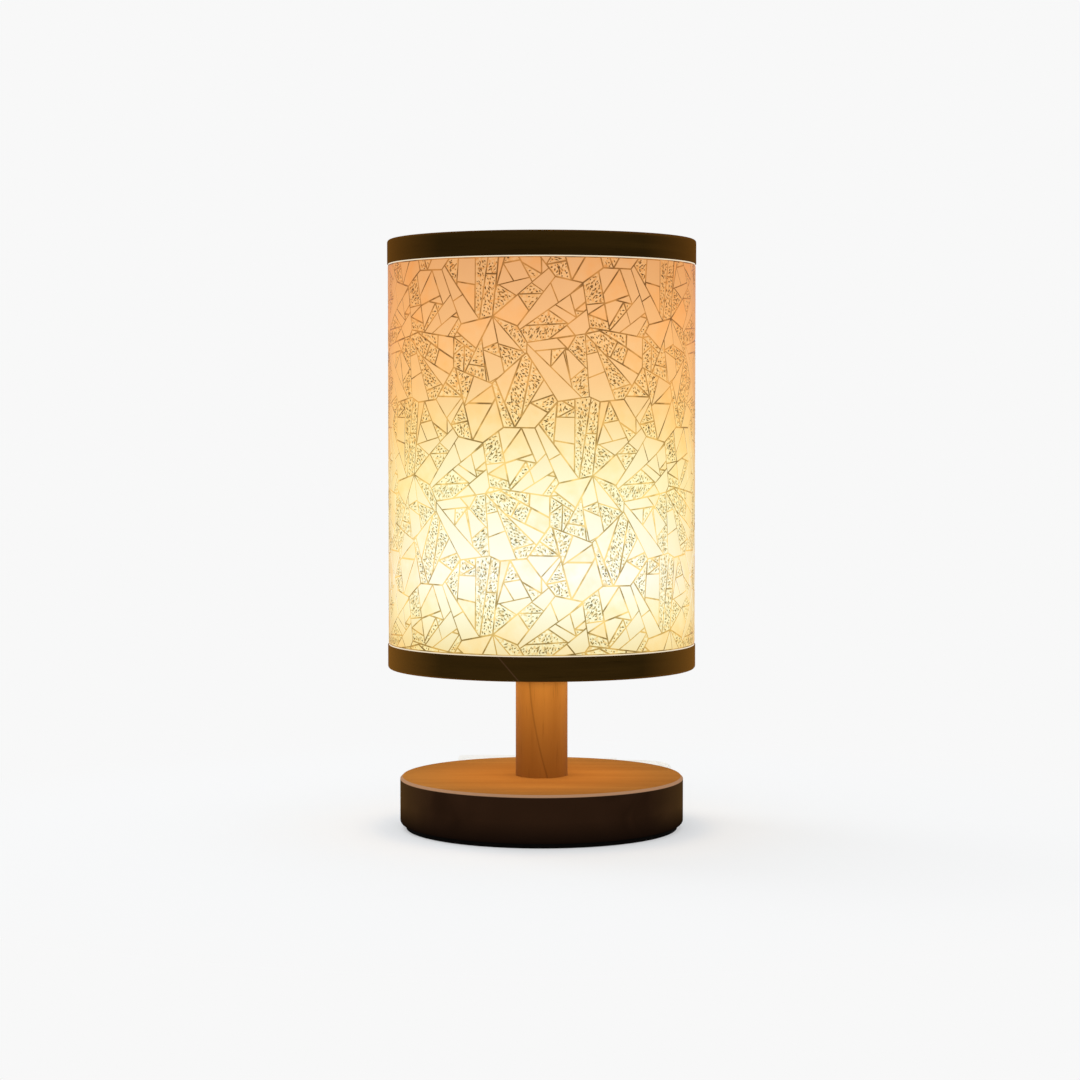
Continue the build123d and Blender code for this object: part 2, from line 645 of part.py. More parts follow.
def make_bulb_housing():
    """Plastic body that flares from the screw cap to the globe."""
    plug = CAP_RADIUS - CAP_WALL - RUNNING_FIT
    plug_end = BULB_CAP_TOP - HOUSING_PLUG_LENGTH
    neck = BULB_CAP_TOP + HOUSING_NECK_RISE
    waist = neck + HOUSING_WAIST_RISE
    outside = [
        (plug, plug_end),
        (plug, neck),
        (HOUSING_NECK_RADIUS, neck),
        (HOUSING_WAIST_RADIUS, waist),
        (HOUSING_TOP_RADIUS, GLOBE_CUT),
    ]
    inside = [
        (HOUSING_TOP_RADIUS - HOUSING_WALL, GLOBE_CUT),
        (HOUSING_WAIST_RADIUS - HOUSING_WALL, waist),
        (plug - HOUSING_WALL, neck),
        (plug - HOUSING_WALL, plug_end),
    ]
    return turned(outside + inside)


def make_led_board():
    return disc(LED_BOARD_RADIUS, GLOBE_CUT + RUNNING_FIT, GLOBE_CUT + LED_BOARD_THICKNESS)


def make_led_chips():
    """Light-emitting chips in a ring on the board."""
    bottom = GLOBE_CUT + LED_BOARD_THICKNESS
    outer_end = LED_RING_INNER + LED_LENGTH
    chip = block(LED_RING_INNER, outer_end, -LED_WIDTH / 2, LED_WIDTH / 2, bottom, bottom + LED_HEIGHT)
    return group(around(chip, [360 / LED_COUNT * step for step in range(LED_COUNT)]))


def make_driver_board():
    """Upright circuit board inside the housing."""
    half_width, half_thickness = DRIVER_WIDTH / 2, DRIVER_THICKNESS / 2
    low, high = BULB_CAP_TOP - DRIVER_DROP, GLOBE_CUT - DRIVER_TOP_GAP
    return block(-half_width, half_width, -half_thickness, half_thickness, low, high)


def make_bulb_globe():
    """Opal globe, open at the bottom where the housing closes it."""
    globe = Pos(0, 0, GLOBE_CENTRE) * (Sphere(GLOBE_RADIUS) - Sphere(GLOBE_RADIUS - GLOBE_WALL))
    return globe - disc(GLOBE_RADIUS, GLOBE_CENTRE - GLOBE_RADIUS - OUTSIDE, GLOBE_CUT + RUNNING_FIT)


# ---------------------------------------------------------------- cord

def turn_radii():
    """Radius of each half turn of the flat coil, from the outside in."""
    return [COIL_RADIUS - half_turn * COIL_PITCH / 2 for half_turn in range(2 * COIL_TURNS - 1)]


def coil_layer(start, radii):
    """Half turns joined by straights; the left ends turn to the back and the right ends to the front."""
    edges = []
    x, y, height = start
    for radius in radii:
        side = 1 if x < COIL_X else -1
        middle = (x - side * radius, y + side * radius, height)
        end = (x, y + side * 2 * radius, height)
        across = (2 * COIL_X - x, end[1], height)
        edges += [ThreePointArc((x, y, height), middle, end), Line(end, across)]
        x, y, height = across
    return edges


def coil_path():
    """Two flat layers: inward at the bottom, a climb along the innermost straight, outward on top."""
    left = COIL_X - COIL_HALF_LENGTH
    right = COIL_X + COIL_HALF_LENGTH
    lower = coil_layer((left, COIL_FRONT_Y, COIL_LOW), turn_radii())[:-1]
    foot = lower[-1] @ 1
    head = (right, foot.Y, COIL_HIGH)
    climb = Spline(foot, head, tangents=((1, 0, 0), (1, 0, 0)))
    lead_in = Line((right, COIL_FRONT_Y, COIL_LOW), (left, COIL_FRONT_Y, COIL_LOW))
    return [lead_in] + lower + [climb] + coil_layer(head, turn_radii()[::-1])


def make_cord_lamp_side():
    """Round cord from the clamp, out of the grommet, down to the floor and round into the switch."""
    mouth = (0, BASE_RADIUS + STRAIGHT_OUT, CORD_EXIT_HEIGHT)
    floor_start = (-BEHIND_BASE_RUN, SWITCH_Y - 2 * CORD_TURN_RADIUS, CORD_RADIUS + RUNNING_FIT)
    turn_start = (CORD_TURN_X, floor_start[1], floor_start[2])
    turn_middle = (CORD_TURN_X - CORD_TURN_RADIUS, SWITCH_Y - CORD_TURN_RADIUS, floor_start[2])
    turn_end = (CORD_TURN_X, SWITCH_Y, floor_start[2])
    switch_end = SWITCH_X - SWITCH_LENGTH / 2
    switch_entry = (switch_end - CORD_BY_SWITCH, SWITCH_Y, SPLIT_HEIGHT)
    inside_switch = (switch_end + CORD_IN_SWITCH, SWITCH_Y, SPLIT_HEIGHT)
    path = [
        Line((0, SHEATH_END_Y, CORD_EXIT_HEIGHT), mouth),
        Spline(mouth, floor_start, tangents=((0, 1, 0), (-1, 0, 0))),
        Line(floor_start, turn_start),
        ThreePointArc(turn_start, turn_middle, turn_end),
        Spline(turn_end, switch_entry, tangents=((1, 0, 0), (1, 0, 0))),
        Line(switch_entry, inside_switch),
    ]
    return swept(Wire(path), CORD_RADIUS)


def make_cord_plug_side():
    """Round cord from the switch into the coil, through its two layers, and out to the plug."""
    switch_end = SWITCH_X + SWITCH_LENGTH / 2
    inside_switch = (switch_end - CORD_IN_SWITCH, SWITCH_Y, SPLIT_HEIGHT)
    switch_exit = (switch_end + CORD_BY_SWITCH, SWITCH_Y, SPLIT_HEIGHT)
    coil = coil_path()
    coil_start = coil[0] @ 0
    turn = (COIL_FRONT_Y - SWITCH_Y) / 2
    apex = (coil_start.X + turn, SWITCH_Y + turn, (SPLIT_HEIGHT + COIL_LOW) / 2)
    bend = Spline(switch_exit, apex, coil_start, tangents=((1, 0, 0), (-1, 0, 0)))
    plug_entry = (PLUG_REAR_X + CORD_BY_PLUG, COIL_FRONT_Y, PLUG_CORD_HEIGHT)
    settle = Spline(coil[-1] @ 1, plug_entry, tangents=((-1, 0, 0), (-1, 0, 0)))
    inside_plug = (PLUG_REAR_X - CORD_IN_PLUG, COIL_FRONT_Y, PLUG_CORD_HEIGHT)
    path = [Line(inside_switch, switch_exit), bend] + coil + [settle, Line(plug_entry, inside_plug)]
    return swept(Wire(path), CORD_RADIUS)


def make_cord_tie():
    """Flat band closed round the coil's straights."""
    room = CORD_RADIUS + RUNNING_FIT
    inner_width = 2 * COIL_RADIUS + 2 * room
    inner_height = COIL_HIGH - COIL_LOW + 2 * room
    middle = (COIL_X, COIL_Y, (COIL_LOW + COIL_HIGH) / 2)
    plane = Plane(origin=middle, x_dir=(0, 1, 0), z_dir=(1, 0, 0))
    inner = RectangleRounded(inner_width, inner_height, TIE_INNER_ROUND)
    outer_width = inner_width + 2 * TIE_THICKNESS
    outer_height = inner_height + 2 * TIE_THICKNESS
    outer = RectangleRounded(outer_width, outer_height, TIE_OUTER_ROUND)
    return extrude(plane * (outer - inner), amount=TIE_WIDTH / 2, both=True)


# ---------------------------------------------------------------- inline switch, in its own frame

def placed_switch(piece):
    """Moves a piece from the switch's own frame to the switch's place on the cord."""
    return Pos(SWITCH_X, SWITCH_Y, 0) * piece


def switch_case():
    """The whole hollow case before it is split, with its cord holes."""
    case = extrude(RectangleRounded(SWITCH_LENGTH, SWITCH_WIDTH, SWITCH_CORNER), SWITCH_HEIGHT)
    case = fillet(case.edges().group_by(Axis.Z)[-1], SWITCH_TOP_ROUND)
    case = fillet(case.edges().group_by(Axis.Z)[0], SWITCH_FLOOR_ROUND)
    room_length = SWITCH_LENGTH - 2 * SWITCH_WALL
    room_width = SWITCH_WIDTH - 2 * SWITCH_WALL
    room = RectangleRounded(room_length, room_width, SWITCH_ROOM_CORNER)
    case -= extrude(Pos(0, 0, SWITCH_WALL) * room, SWITCH_HEIGHT - 2 * SWITCH_WALL)
    reach = SWITCH_LENGTH / 2 + OUTSIDE
    return case - rod(CORD_RADIUS + RUNNING_FIT, (-reach, 0, SPLIT_HEIGHT), (reach, 0, SPLIT_HEIGHT))


def make_switch_bottom_shell():
    lower_half = block(-SWITCH_LENGTH, SWITCH_LENGTH, -SWITCH_WIDTH, SWITCH_WIDTH, 0, SPLIT_HEIGHT)
    shell = switch_case() & lower_half
    for x, y in SWITCH_SCREWS:
        shell += Pos(x, y, 0) * disc(BOSS_RADIUS, SWITCH_WALL, SPLIT_HEIGHT)
        shell -= Pos(x, y, 0) * disc(SCREW_HEAD_WELL_RADIUS, -OUTSIDE, SCREW_HEAD_WELL_DEPTH)
        shell -= Pos(x, y, 0) * disc(SCREW_CLEARANCE_RADIUS, 0, SPLIT_HEIGHT)
    return placed_switch(shell)


def make_switch_top_shell():
    """Upper shell with the rocker's opening and two ears for its pivot pin."""
    above = SWITCH_HEIGHT + OUTSIDE
    upper_half = block(-SWITCH_LENGTH, SWITCH_LENGTH, -SWITCH_WIDTH, SWITCH_WIDTH, SPLIT_HEIGHT, above)
    shell = switch_case() & upper_half
    ceiling = SWITCH_HEIGHT - SWITCH_WALL
    for side in (-1, 1):
        low, high = sorted((side * EAR_INNER_Y, side * EAR_OUTER_Y))
        shell += block(-EAR_HALF_LENGTH, EAR_HALF_LENGTH, low, high, PIVOT_HEIGHT - EAR_DROP, ceiling)
    pivot_start = (0, -PIVOT_LENGTH / 2, PIVOT_HEIGHT)
    pivot_end = (0, PIVOT_LENGTH / 2, PIVOT_HEIGHT)
    shell -= rod(PIVOT_RADIUS + RUNNING_FIT, pivot_start, pivot_end)
    for x, y in SWITCH_SCREWS:
        shell += Pos(x, y, 0) * disc(BOSS_RADIUS, SPLIT_HEIGHT, ceiling)
        shell -= Pos(x, y, 0) * disc(SCREW_THREAD_RADIUS, SPLIT_HEIGHT, ceiling)
    half_length, half_width = ROCKER_OPENING_LENGTH / 2, ROCKER_OPENING_WIDTH / 2
    shell -= block(-half_length, half_length, -half_width, half_width, ceiling, above)
    return placed_switch(shell)


def on_pivot(piece):
    """Puts a piece drawn round the pivot into the switch, tilted to the switched-on position."""
    return placed_switch(Pos(0, 0, PIVOT_HEIGHT) * Rot(0, -ROCKER_TILT, 0) * piece)


def make_switch_rocker():
    """Rocker with a dished top, a keel for the detent and a foot that carries the moving contact."""
    end = ROCKER_LENGTH / 2
    shoulder_x, shoulder_height = KEEL_SHOULDER
    keel_x, keel_height = KEEL_TIP
    foot_x = -end + CONTACT_FOOT_LENGTH
    dish = ThreePointArc((-end, ROCKER_END_TOP), (0, ROCKER_DISH), (end, ROCKER_END_TOP))
    under = Polyline(
        (end, ROCKER_END_TOP),
        (end, ROCKER_END_BOTTOM),
        (shoulder_x, shoulder_height),
        (keel_x, keel_height),
        (-keel_x, keel_height),
        (-shoulder_x, shoulder_height),
        (foot_x, shoulder_height),
        (foot_x, CONTACT_FOOT_BOTTOM),
        (-end, CONTACT_FOOT_BOTTOM),
        (-end, ROCKER_END_TOP),
    )
    side = make_face([Plane.XZ * dish, Plane.XZ * under])
    rocker = extrude(side, ROCKER_WIDTH / 2, both=True)
    bore = rod(PIVOT_RADIUS + RUNNING_FIT, (0, -ROCKER_WIDTH, 0), (0, ROCKER_WIDTH, 0))
    return on_pivot(rocker - bore)


def make_rocker_pivot_pin():
    half = PIVOT_LENGTH / 2 - PIVOT_END_PLAY
    return placed_switch(rod(PIVOT_RADIUS, (0, -half, PIVOT_HEIGHT), (0, half, PIVOT_HEIGHT)))


def make_moving_contact():
    """Brass bridge under the rocker's foot, with two contact rivets."""
    x_low, x_high = BRIDGE_X - BRIDGE_HALF_LENGTH, BRIDGE_X + BRIDGE_HALF_LENGTH
    bottom = CONTACT_FOOT_BOTTOM - BRIDGE_THICKNESS
    bridge = block(x_low, x_high, -BRIDGE_HALF_WIDTH, BRIDGE_HALF_WIDTH, bottom, CONTACT_FOOT_BOTTOM)
    for y in (-RIVET_Y, RIVET_Y):
        rivet_bottom = (BRIDGE_X, y, bottom - RIVET_BELOW_BRIDGE)
        bridge += rod(RIVET_RADIUS, rivet_bottom, (BRIDGE_X, y, bottom + RIVET_IN_BRIDGE))
    return on_pivot(bridge)


def make_fixed_contacts():
    """Two brass contacts on the case's floor, which the bridge joins when the switch is on."""
    contacts = []
    left, right = POST_X
    for side, hole_left, hole_right in ((-1, left, POST_HOLE_X), (1, POST_HOLE_X, right)):
        low, high = sorted((side * POST_Y[0], side * POST_Y[1]))
        post = block(left, right, low, high, SWITCH_WALL, POST_TOP)
        y = side * POST_HOLE_Y
        post -= rod(LEAD_RADIUS + RUNNING_FIT, (hole_left, y, LEAD_LOW), (hole_right, y, LEAD_LOW))
        contacts.append(placed_switch(post))
    return group(contacts)


def make_detent_spring():
    """Thin steel arch that the rocker's keel snaps over."""
    foot, foot_top = SWITCH_WALL, SWITCH_WALL + SPRING_THICKNESS
    crest_under = SPRING_TOP - SPRING_THICKNESS
    crest_x, foot_x = SPRING_CREST + SPRING_SLANT, SPRING_FOOT_X + SPRING_SLANT
    outline = Polyline(
        (-SPRING_END_X, foot),
        (-SPRING_FOOT_X, foot),
        (-SPRING_CREST, crest_under),
        (SPRING_CREST, crest_under),
        (SPRING_FOOT_X, foot),
        (SPRING_END_X, foot),
        (SPRING_END_X, foot_top),
        (foot_x, foot_top),
        (crest_x, SPRING_TOP),
        (-crest_x, SPRING_TOP),
        (-foot_x, foot_top),
        (-SPRING_END_X, foot_top),
        close=True,
    )
    return placed_switch(extrude(make_face(Plane.XZ * outline), SPRING_WIDTH / 2, both=True))


def make_switch_leads():
    """Stripped cores inside the switch: the live core broken by the contacts, the neutral one through."""
    end = SWITCH_LENGTH / 2 - CORD_IN_SWITCH - RUNNING_FIT
    high, low = SPLIT_HEIGHT, LEAD_LOW
    live_y, neutral_y, post_y = -LEAD_OFFSET, LEAD_OFFSET, POST_HOLE_Y
    live_in = [
        (-end, live_y, high),
        (-LIVE_IN_DIVE[0], live_y, high),
        (-LIVE_IN_DIVE[1], -post_y, low),
        (POST_HOLE_X - LEAD_END_GAP, -post_y, low),
    ]
    live_out = [
        (end, live_y, high),
        (LIVE_OUT_DIVE[0], live_y, high),
        (LIVE_OUT_DIVE[1], live_y, low),
        (LIVE_OUT_TURN_X, post_y, low),
        (POST_HOLE_X + LEAD_END_GAP, post_y, low),
    ]
    neutral = [
        (-end, neutral_y, high),
        (-NEUTRAL_DIVE[0], neutral_y, high),
        (-NEUTRAL_DIVE[1], NEUTRAL_SIDE_Y, low),
        (NEUTRAL_DIVE[1], NEUTRAL_SIDE_Y, low),
        (NEUTRAL_DIVE[0], neutral_y, high),
        (end, neutral_y, high),
    ]
    paths = [FilletPolyline(*points, radius=SWITCH_LEAD_BEND) for points in (live_in, live_out, neutral)]
    return group([placed_switch(swept(path, LEAD_RADIUS)) for path in paths])


def make_switch_screws():
    screw = disc(SCREW_HEAD_RADIUS, SCREW_HEAD_SUNK, SCREW_HEAD_WELL_DEPTH)
    screw += disc(SCREW_RADIUS, SCREW_HEAD_WELL_DEPTH, SCREW_TOP)
    return group([placed_switch(Pos(x, y, 0) * screw) for x, y in SWITCH_SCREWS])


# ---------------------------------------------------------------- plug

def pin_places():
    return [COIL_FRONT_Y + side * PIN_SPACING / 2 for side in (-1, 1)]


def along_plug(radius, x_start, x_end, y=COIL_FRONT_Y):
    """A round bar along the plug, at the height of its cord and pins."""
    return rod(radius, (x_start, y, PLUG_CORD_HEIGHT), (x_end, y, PLUG_CORD_HEIGHT))


def make_plug_body():
    """Moulded flat body with bevelled edges, a grooved cord bush at its rear and two pin holes."""
    half, neck = PLUG_WIDTH / 2, PLUG_NECK / 2
    nose_x = PLUG_FACE_X + PLUG_NOSE_LENGTH
    shoulder_x = PLUG_REAR_X - PLUG_SHOULDER_LENGTH
    upper_side = [
        (PLUG_REAR_X, neck),
        (shoulder_x, half - PLUG_SHOULDER_INSET),
        (nose_x, half),
        (PLUG_FACE_X, half - PLUG_NOSE_INSET),
    ]
    lower_side = [(x, -y) for x, y in upper_side[::-1]]
    outline = Pos(0, COIL_FRONT_Y) * Polyline(*lower_side, *upper_side, close=True)
    body = extrude(make_face(outline), PLUG_THICKNESS)
    body = fillet(body.edges().filter_by(Axis.Z), PLUG_CORNER)
    for rim in (body.edges().group_by(Axis.Z)[-1], body.edges().group_by(Axis.Z)[0]):
        body = chamfer(rim, PLUG_BEVEL)
    body += along_plug(BUSH_RADIUS, PLUG_REAR_X - BUSH_ROOT, PLUG_REAR_X + BUSH_LENGTH)
    for ring in range(BUSH_GROOVES):
        x = PLUG_REAR_X + GROOVE_START + GROOVE_PITCH * ring
        groove = along_plug(BUSH_RADIUS + OUTSIDE, x, x + GROOVE_WIDTH)
        body -= groove - along_plug(GROOVE_RADIUS, x, x + GROOVE_WIDTH)
    body -= along_plug(CORD_RADIUS + RUNNING_FIT, PLUG_REAR_X - CORD_IN_PLUG, PLUG_REAR_X + CORD_BY_PLUG)
    for y in pin_places():
        body -= along_plug(PIN_CORE_RADIUS + RUNNING_FIT, PLUG_FACE_X - OUTSIDE, PLUG_FACE_X + PIN_GRIP, y)
    return body


def make_plug_pins():
    """Two round pins with rounded tips and thinner, sleeved roots."""
    pins = []
    for y in pin_places():
        tip = along_plug(PIN_RADIUS, PIN_TIP_X, PIN_STEP_X, y)
        tip = fillet(tip.edges().filter_by(GeomType.CIRCLE).sort_by(Axis.X)[0], PIN_TIP_ROUND)
        root = along_plug(PIN_CORE_RADIUS, PIN_STEP_X, PLUG_FACE_X + PIN_GRIP - RUNNING_FIT, y)
        pins.append(tip + root)
    return group(pins)


def make_pin_sleeves():
    """Insulating sleeves round the pins' roots."""
    sleeves = []
    for y in pin_places():
        sleeve = along_plug(SLEEVE_RADIUS, PIN_STEP_X, PLUG_FACE_X, y)
        sleeves.append(sleeve - along_plug(PIN_CORE_RADIUS + RUNNING_FIT, PIN_STEP_X, PLUG_FACE_X, y))
    return group(sleeves)


NODES = {
    "base_disc": make_base_disc,
    "foot_pad": make_foot_pad,
    "stem": make_stem,
    "threaded_tube": make_threaded_tube,
    "tube_washer": make_tube_washer,
    "tube_nut": make_tube_nut,
    "cord_grommet": make_cord_grommet,
    "cord_clamp": make_cord_clamp,
    "clamp_screws": make_clamp_screws,
    "lamp_leads": make_lamp_leads,
    "holder_cap": make_holder_cap,
    "holder_shell": make_holder_shell,
    "holder_core": make_holder_core,
    "holder_terminals": make_holder_terminals,
    "terminal_screws": make_terminal_screws,
    "screw_shell": make_screw_shell,
    "centre_contact": make_centre_contact,
    "shade_ring_nut": make_shade_ring_nut,
    "shade_spider": make_shade_spider,
    "spider_screws": make_spider_screws,
    "lower_hoop": make_lower_hoop,
    "upper_hoop": make_upper_hoop,
    "shade_film": make_shade_film,
    "bulb_tip_contact": make_bulb_tip_contact,
    "bulb_insulator": make_bulb_insulator,
    "bulb_cap": make_bulb_cap,
    "bulb_housing": make_bulb_housing,
    "driver_board": make_driver_board,
    "led_board": make_led_board,
    "led_chips": make_led_chips,
    "bulb_globe": make_bulb_globe,
    "cord_lamp_side": make_cord_lamp_side,
    "cord_plug_side": make_cord_plug_side,
    "cord_tie": make_cord_tie,
    "switch_bottom_shell": make_switch_bottom_shell,
    "switch_top_shell": make_switch_top_shell,
    "switch_rocker": make_switch_rocker,
    "rocker_pivot_pin": make_rocker_pivot_pin,
    "moving_contact": make_moving_contact,
    "fixed_contacts": make_fixed_contacts,
    "detent_spring": make_detent_spring,
    "switch_leads": make_switch_leads,
    "switch_screws": make_switch_screws,
    "plug_body": make_plug_body,
    "plug_pins": make_plug_pins,
    "pin_sleeves": make_pin_sleeves,
}

os.makedirs("parts", exist_ok=True)
for node, make in NODES.items():
    export_step(make(), f"parts/{node}.step")
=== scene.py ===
"""Looks for the mosaic table lamp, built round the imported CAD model. Metres, in the CAD model's frame."""

import math
import random

import bpy
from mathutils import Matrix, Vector


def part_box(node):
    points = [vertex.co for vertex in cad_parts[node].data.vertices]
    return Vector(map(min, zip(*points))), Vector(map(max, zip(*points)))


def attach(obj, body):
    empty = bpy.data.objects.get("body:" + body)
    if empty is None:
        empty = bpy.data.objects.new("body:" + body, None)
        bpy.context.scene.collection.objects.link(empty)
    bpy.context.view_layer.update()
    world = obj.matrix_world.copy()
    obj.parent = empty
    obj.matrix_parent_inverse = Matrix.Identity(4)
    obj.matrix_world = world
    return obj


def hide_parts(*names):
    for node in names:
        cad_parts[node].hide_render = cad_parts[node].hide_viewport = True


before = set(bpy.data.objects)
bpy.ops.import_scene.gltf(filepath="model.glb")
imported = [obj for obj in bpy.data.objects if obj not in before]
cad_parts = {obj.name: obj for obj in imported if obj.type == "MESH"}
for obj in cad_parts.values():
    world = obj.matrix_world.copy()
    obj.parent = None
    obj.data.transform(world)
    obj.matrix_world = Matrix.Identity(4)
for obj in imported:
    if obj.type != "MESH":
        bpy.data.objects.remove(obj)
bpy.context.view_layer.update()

MM = 0.001

# ------------------------------------------------------------------ places from the frame
film_low, film_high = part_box("shade_film")
base_low, base_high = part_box("base_disc")
stem_low, stem_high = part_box("stem")
lower_hoop_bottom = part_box("lower_hoop")[0].z

FILM_RADIUS = film_high.x
EDGE_GLUE = 0.26 * MM  # glue that fills the joint between the sheet and each hoop
FILM_BOTTOM, FILM_TOP = film_low.z - EDGE_GLUE, film_high.z + EDGE_GLUE
HOOP_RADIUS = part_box("upper_hoop")[1].x
BASE_TOP = base_high.z


# ------------------------------------------------------------------ shader helpers

class Shader:
    """A node material with one Principled surface and short calls that add and join nodes."""

    def __init__(self, name):
        self.material = bpy.data.materials.new(name)
        self.material.use_nodes = True
        self.tree = self.material.node_tree
        self.surface = self.tree.nodes["Principled BSDF"]

    def add(self, kind, **inputs):
        node = self.tree.nodes.new(kind)
        for key, value in inputs.items():
            self.set(node, key, value)
        return node

    def set(self, node, key, value):
        """Sets a property, a socket's value or a socket's link, by the name of the socket."""
        name = key.replace("_", " ")
        sockets = {socket.name: socket for socket in node.inputs}
        if key in sockets or name in sockets:
            socket = sockets.get(key) or sockets[name]
            if isinstance(value, bpy.types.NodeSocket):
                self.tree.links.new(value, socket)
            else:
                socket.default_value = value
        else:
            setattr(node, key, value)

    def join(self, output, node, index):
        self.tree.links.new(output, node.inputs[index])

    def position(self, scale=(1, 1, 1), rotation=(0, 0, 0)):
        """Object coordinates in metres, scaled per axis."""
        coordinates = self.add("ShaderNodeTexCoord")
        mapping = self.add("ShaderNodeMapping", Vector=coordinates.outputs["Object"])
        mapping.inputs["Scale"].default_value = scale
        mapping.inputs["Rotation"].default_value = rotation
        return mapping.outputs["Vector"]

    def cylinder_position(self, radius, scale=(1, 1, 1)):
        """Unrolled coordinates round the lamp's axis: arc length, radius, height."""
        coordinates = self.add("ShaderNodeTexCoord")
        parts = self.add("ShaderNodeSeparateXYZ", Vector=coordinates.outputs["Object"])
        angle = self.math("ARCTAN2", parts.outputs["Y"], parts.outputs["X"])
        x_squared = self.math("MULTIPLY", parts.outputs["X"], parts.outputs["X"])
        distance_squared = self.math("MULTIPLY_ADD", parts.outputs["Y"], parts.outputs["Y"], x_squared)
        distance = self.math("SQRT", distance_squared)
        arc = self.math("MULTIPLY", angle, radius)
        joined = self.add("ShaderNodeCombineXYZ", X=arc, Y=distance, Z=parts.outputs["Z"])
        mapping = self.add("ShaderNodeMapping", Vector=joined.outputs["Vector"])
        mapping.inputs["Scale"].default_value = scale
        return mapping.outputs["Vector"]

    def math(self, operation, *values):
        node = self.add("ShaderNodeMath", operation=operation)
        for index, value in enumerate(values):
            if isinstance(value, bpy.types.NodeSocket):
                self.join(value, node, index)
            else:
                node.inputs[index].default_value = value
        return node.outputs[0]

    def noise(self, vector, scale, detail=3.0, roughness=0.5, distortion=0.0):
        node = self.add("ShaderNodeTexNoise", Vector=vector, Scale=scale, Detail=detail, Roughness=roughness)
        node.inputs["Distortion"].default_value = distortion
        return node.outputs["Fac"]

    def ramp(self, value, stops):
        """Colour or grey ramp from (place, colour) stops."""
        node = self.add("ShaderNodeValToRGB", Fac=value)
        ramp = node.color_ramp
        while len(ramp.elements) < len(stops):
            ramp.elements.new(0.5)
        for element, (place, color) in zip(ramp.elements, stops):
            element.position = place
            element.color = (*color, 1) if len(color) == 3 else color
        return node.outputs["Color"]

    def spread(self, value, low, high, to_low=0.0, to_high=1.0):
        node = self.add("ShaderNodeMapRange", Value=value)
        node.inputs["From Min"].default_value = low
        node.inputs["From Max"].default_value = high
        node.inputs["To Min"].default_value = to_low
        node.inputs["To Max"].default_value = to_high
        return node.outputs["Result"]

    def mix(self, factor, first, second, mode="MIX"):
        node = self.add("ShaderNodeMix", data_type="RGBA", blend_type=mode)
        for index, value in ((0, factor), (6, first), (7, second)):
            if isinstance(value, bpy.types.NodeSocket):
                self.join(value, node, index)
            else:
                node.inputs[index].default_value = (*value, 1) if index else value
        return node.outputs[2]

    def bump(self, height, depth, strength):
        return self.add("ShaderNodeBump", Height=height, Distance=depth, Strength=strength).outputs["Normal"]

    def finish(self, **inputs):
        """Sets or joins the surface's own sockets and returns the material."""
        for key, value in inputs.items():
            self.set(self.surface, key, value)
        return self.material


def linear(red, green, blue):
    """Linear colour of an 8-bit display colour."""
    def channel(value):
        value /= 255
        return value / 12.92 if value <= 0.04045 else ((value + 0.055) / 1.055) ** 2.4
    return channel(red), channel(green), channel(blue)


def scaled(color, factor):
    return tuple(value * factor for value in color)


# ------------------------------------------------------------------ mesh helpers

SHARP_ANGLE = math.radians(35)
FILM_SHARP_ANGLE = math.radians(20)


def piece(name, verts, faces, body, materials, replaces=(), face_materials=None, sharp=SHARP_ANGLE):
    """A mesh object that rides on a body, with soft shading below the sharp angle."""
    mesh = bpy.data.meshes.new(name)
    mesh.from_pydata(verts, [], faces)
    mesh.validate()
    for material in materials:
        mesh.materials.append(material)
    if face_materials:
        mesh.polygons.foreach_set("material_index", face_materials)
    mesh.shade_smooth()
    mesh.set_sharp_from_angle(angle=sharp)
    mesh.update()
    thing = bpy.data.objects.new(name, mesh)
    bpy.context.scene.collection.objects.link(thing)
    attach(thing, body)
    if replaces:
        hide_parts(*replaces)
    return thing


def lathe(profile, segments, closed=True):
    """Vertices and faces of a (radius, height) outline turned about the Z axis; radius 0 makes a pole."""
    verts, rings = [], []
    for radius, height in profile:
        if radius == 0:
            rings.append([len(verts)] * segments)
            verts.append((0, 0, height))
            continue
        rings.append(range(len(verts), len(verts) + segments))
        for step in range(segments):
            angle = math.tau * step / segments
            verts.append((radius * math.cos(angle), radius * math.sin(angle), height))
    faces = []
    following = rings[1:] + rings[:1] if closed else rings[1:]
    for low, high in zip(rings, following):
        for step in range(segments):
            after = (step + 1) % segments
            corners = [low[step], low[after], high[after], high[step]]
            unique = list(dict.fromkeys(corners))
            if len(unique) > 2:
                faces.append(unique)
    return verts, faces


# ------------------------------------------------------------------ mosaic drawn flat, as convex pieces

MOTIF_REPEATS = 5
MOTIF_WIDTH = math.tau * FILM_RADIUS / MOTIF_REPEATS
MOTIF_HEIGHT = 63.5 * MM
LINE_WIDTH = 0.5 * MM
COARSE_CELLS = 9
SEED_TRIES = 5000
SAME_POINT = 0.02 * MM
SEED = 41

# Sizes in square millimetres
UNCUT_SIZE = (38, 120)
STRIP_SIZE = 120
SMALL_SHARD_SIZE = 28

# Length squared over area
LONG_SHARD = 3.4
NEEDLE_SHARD = 5.5

KEEP_NEEDLE_CHANCE = 0.55
STRIP_CHANCE = 0.55
FAN_FROM_EDGE_CHANCE = 0.65
CUTS_DEEP = 4
STRIP_WIDTH = (6.5 * MM, 9 * MM)
WEDGE_DEGREES = (38, 54)
SPECKLED_CHANCE = 0.32
SPECKLED_TRIANGLE_CHANCE = 0.5
SPECKLED_SMALL_CHANCE = 0.62


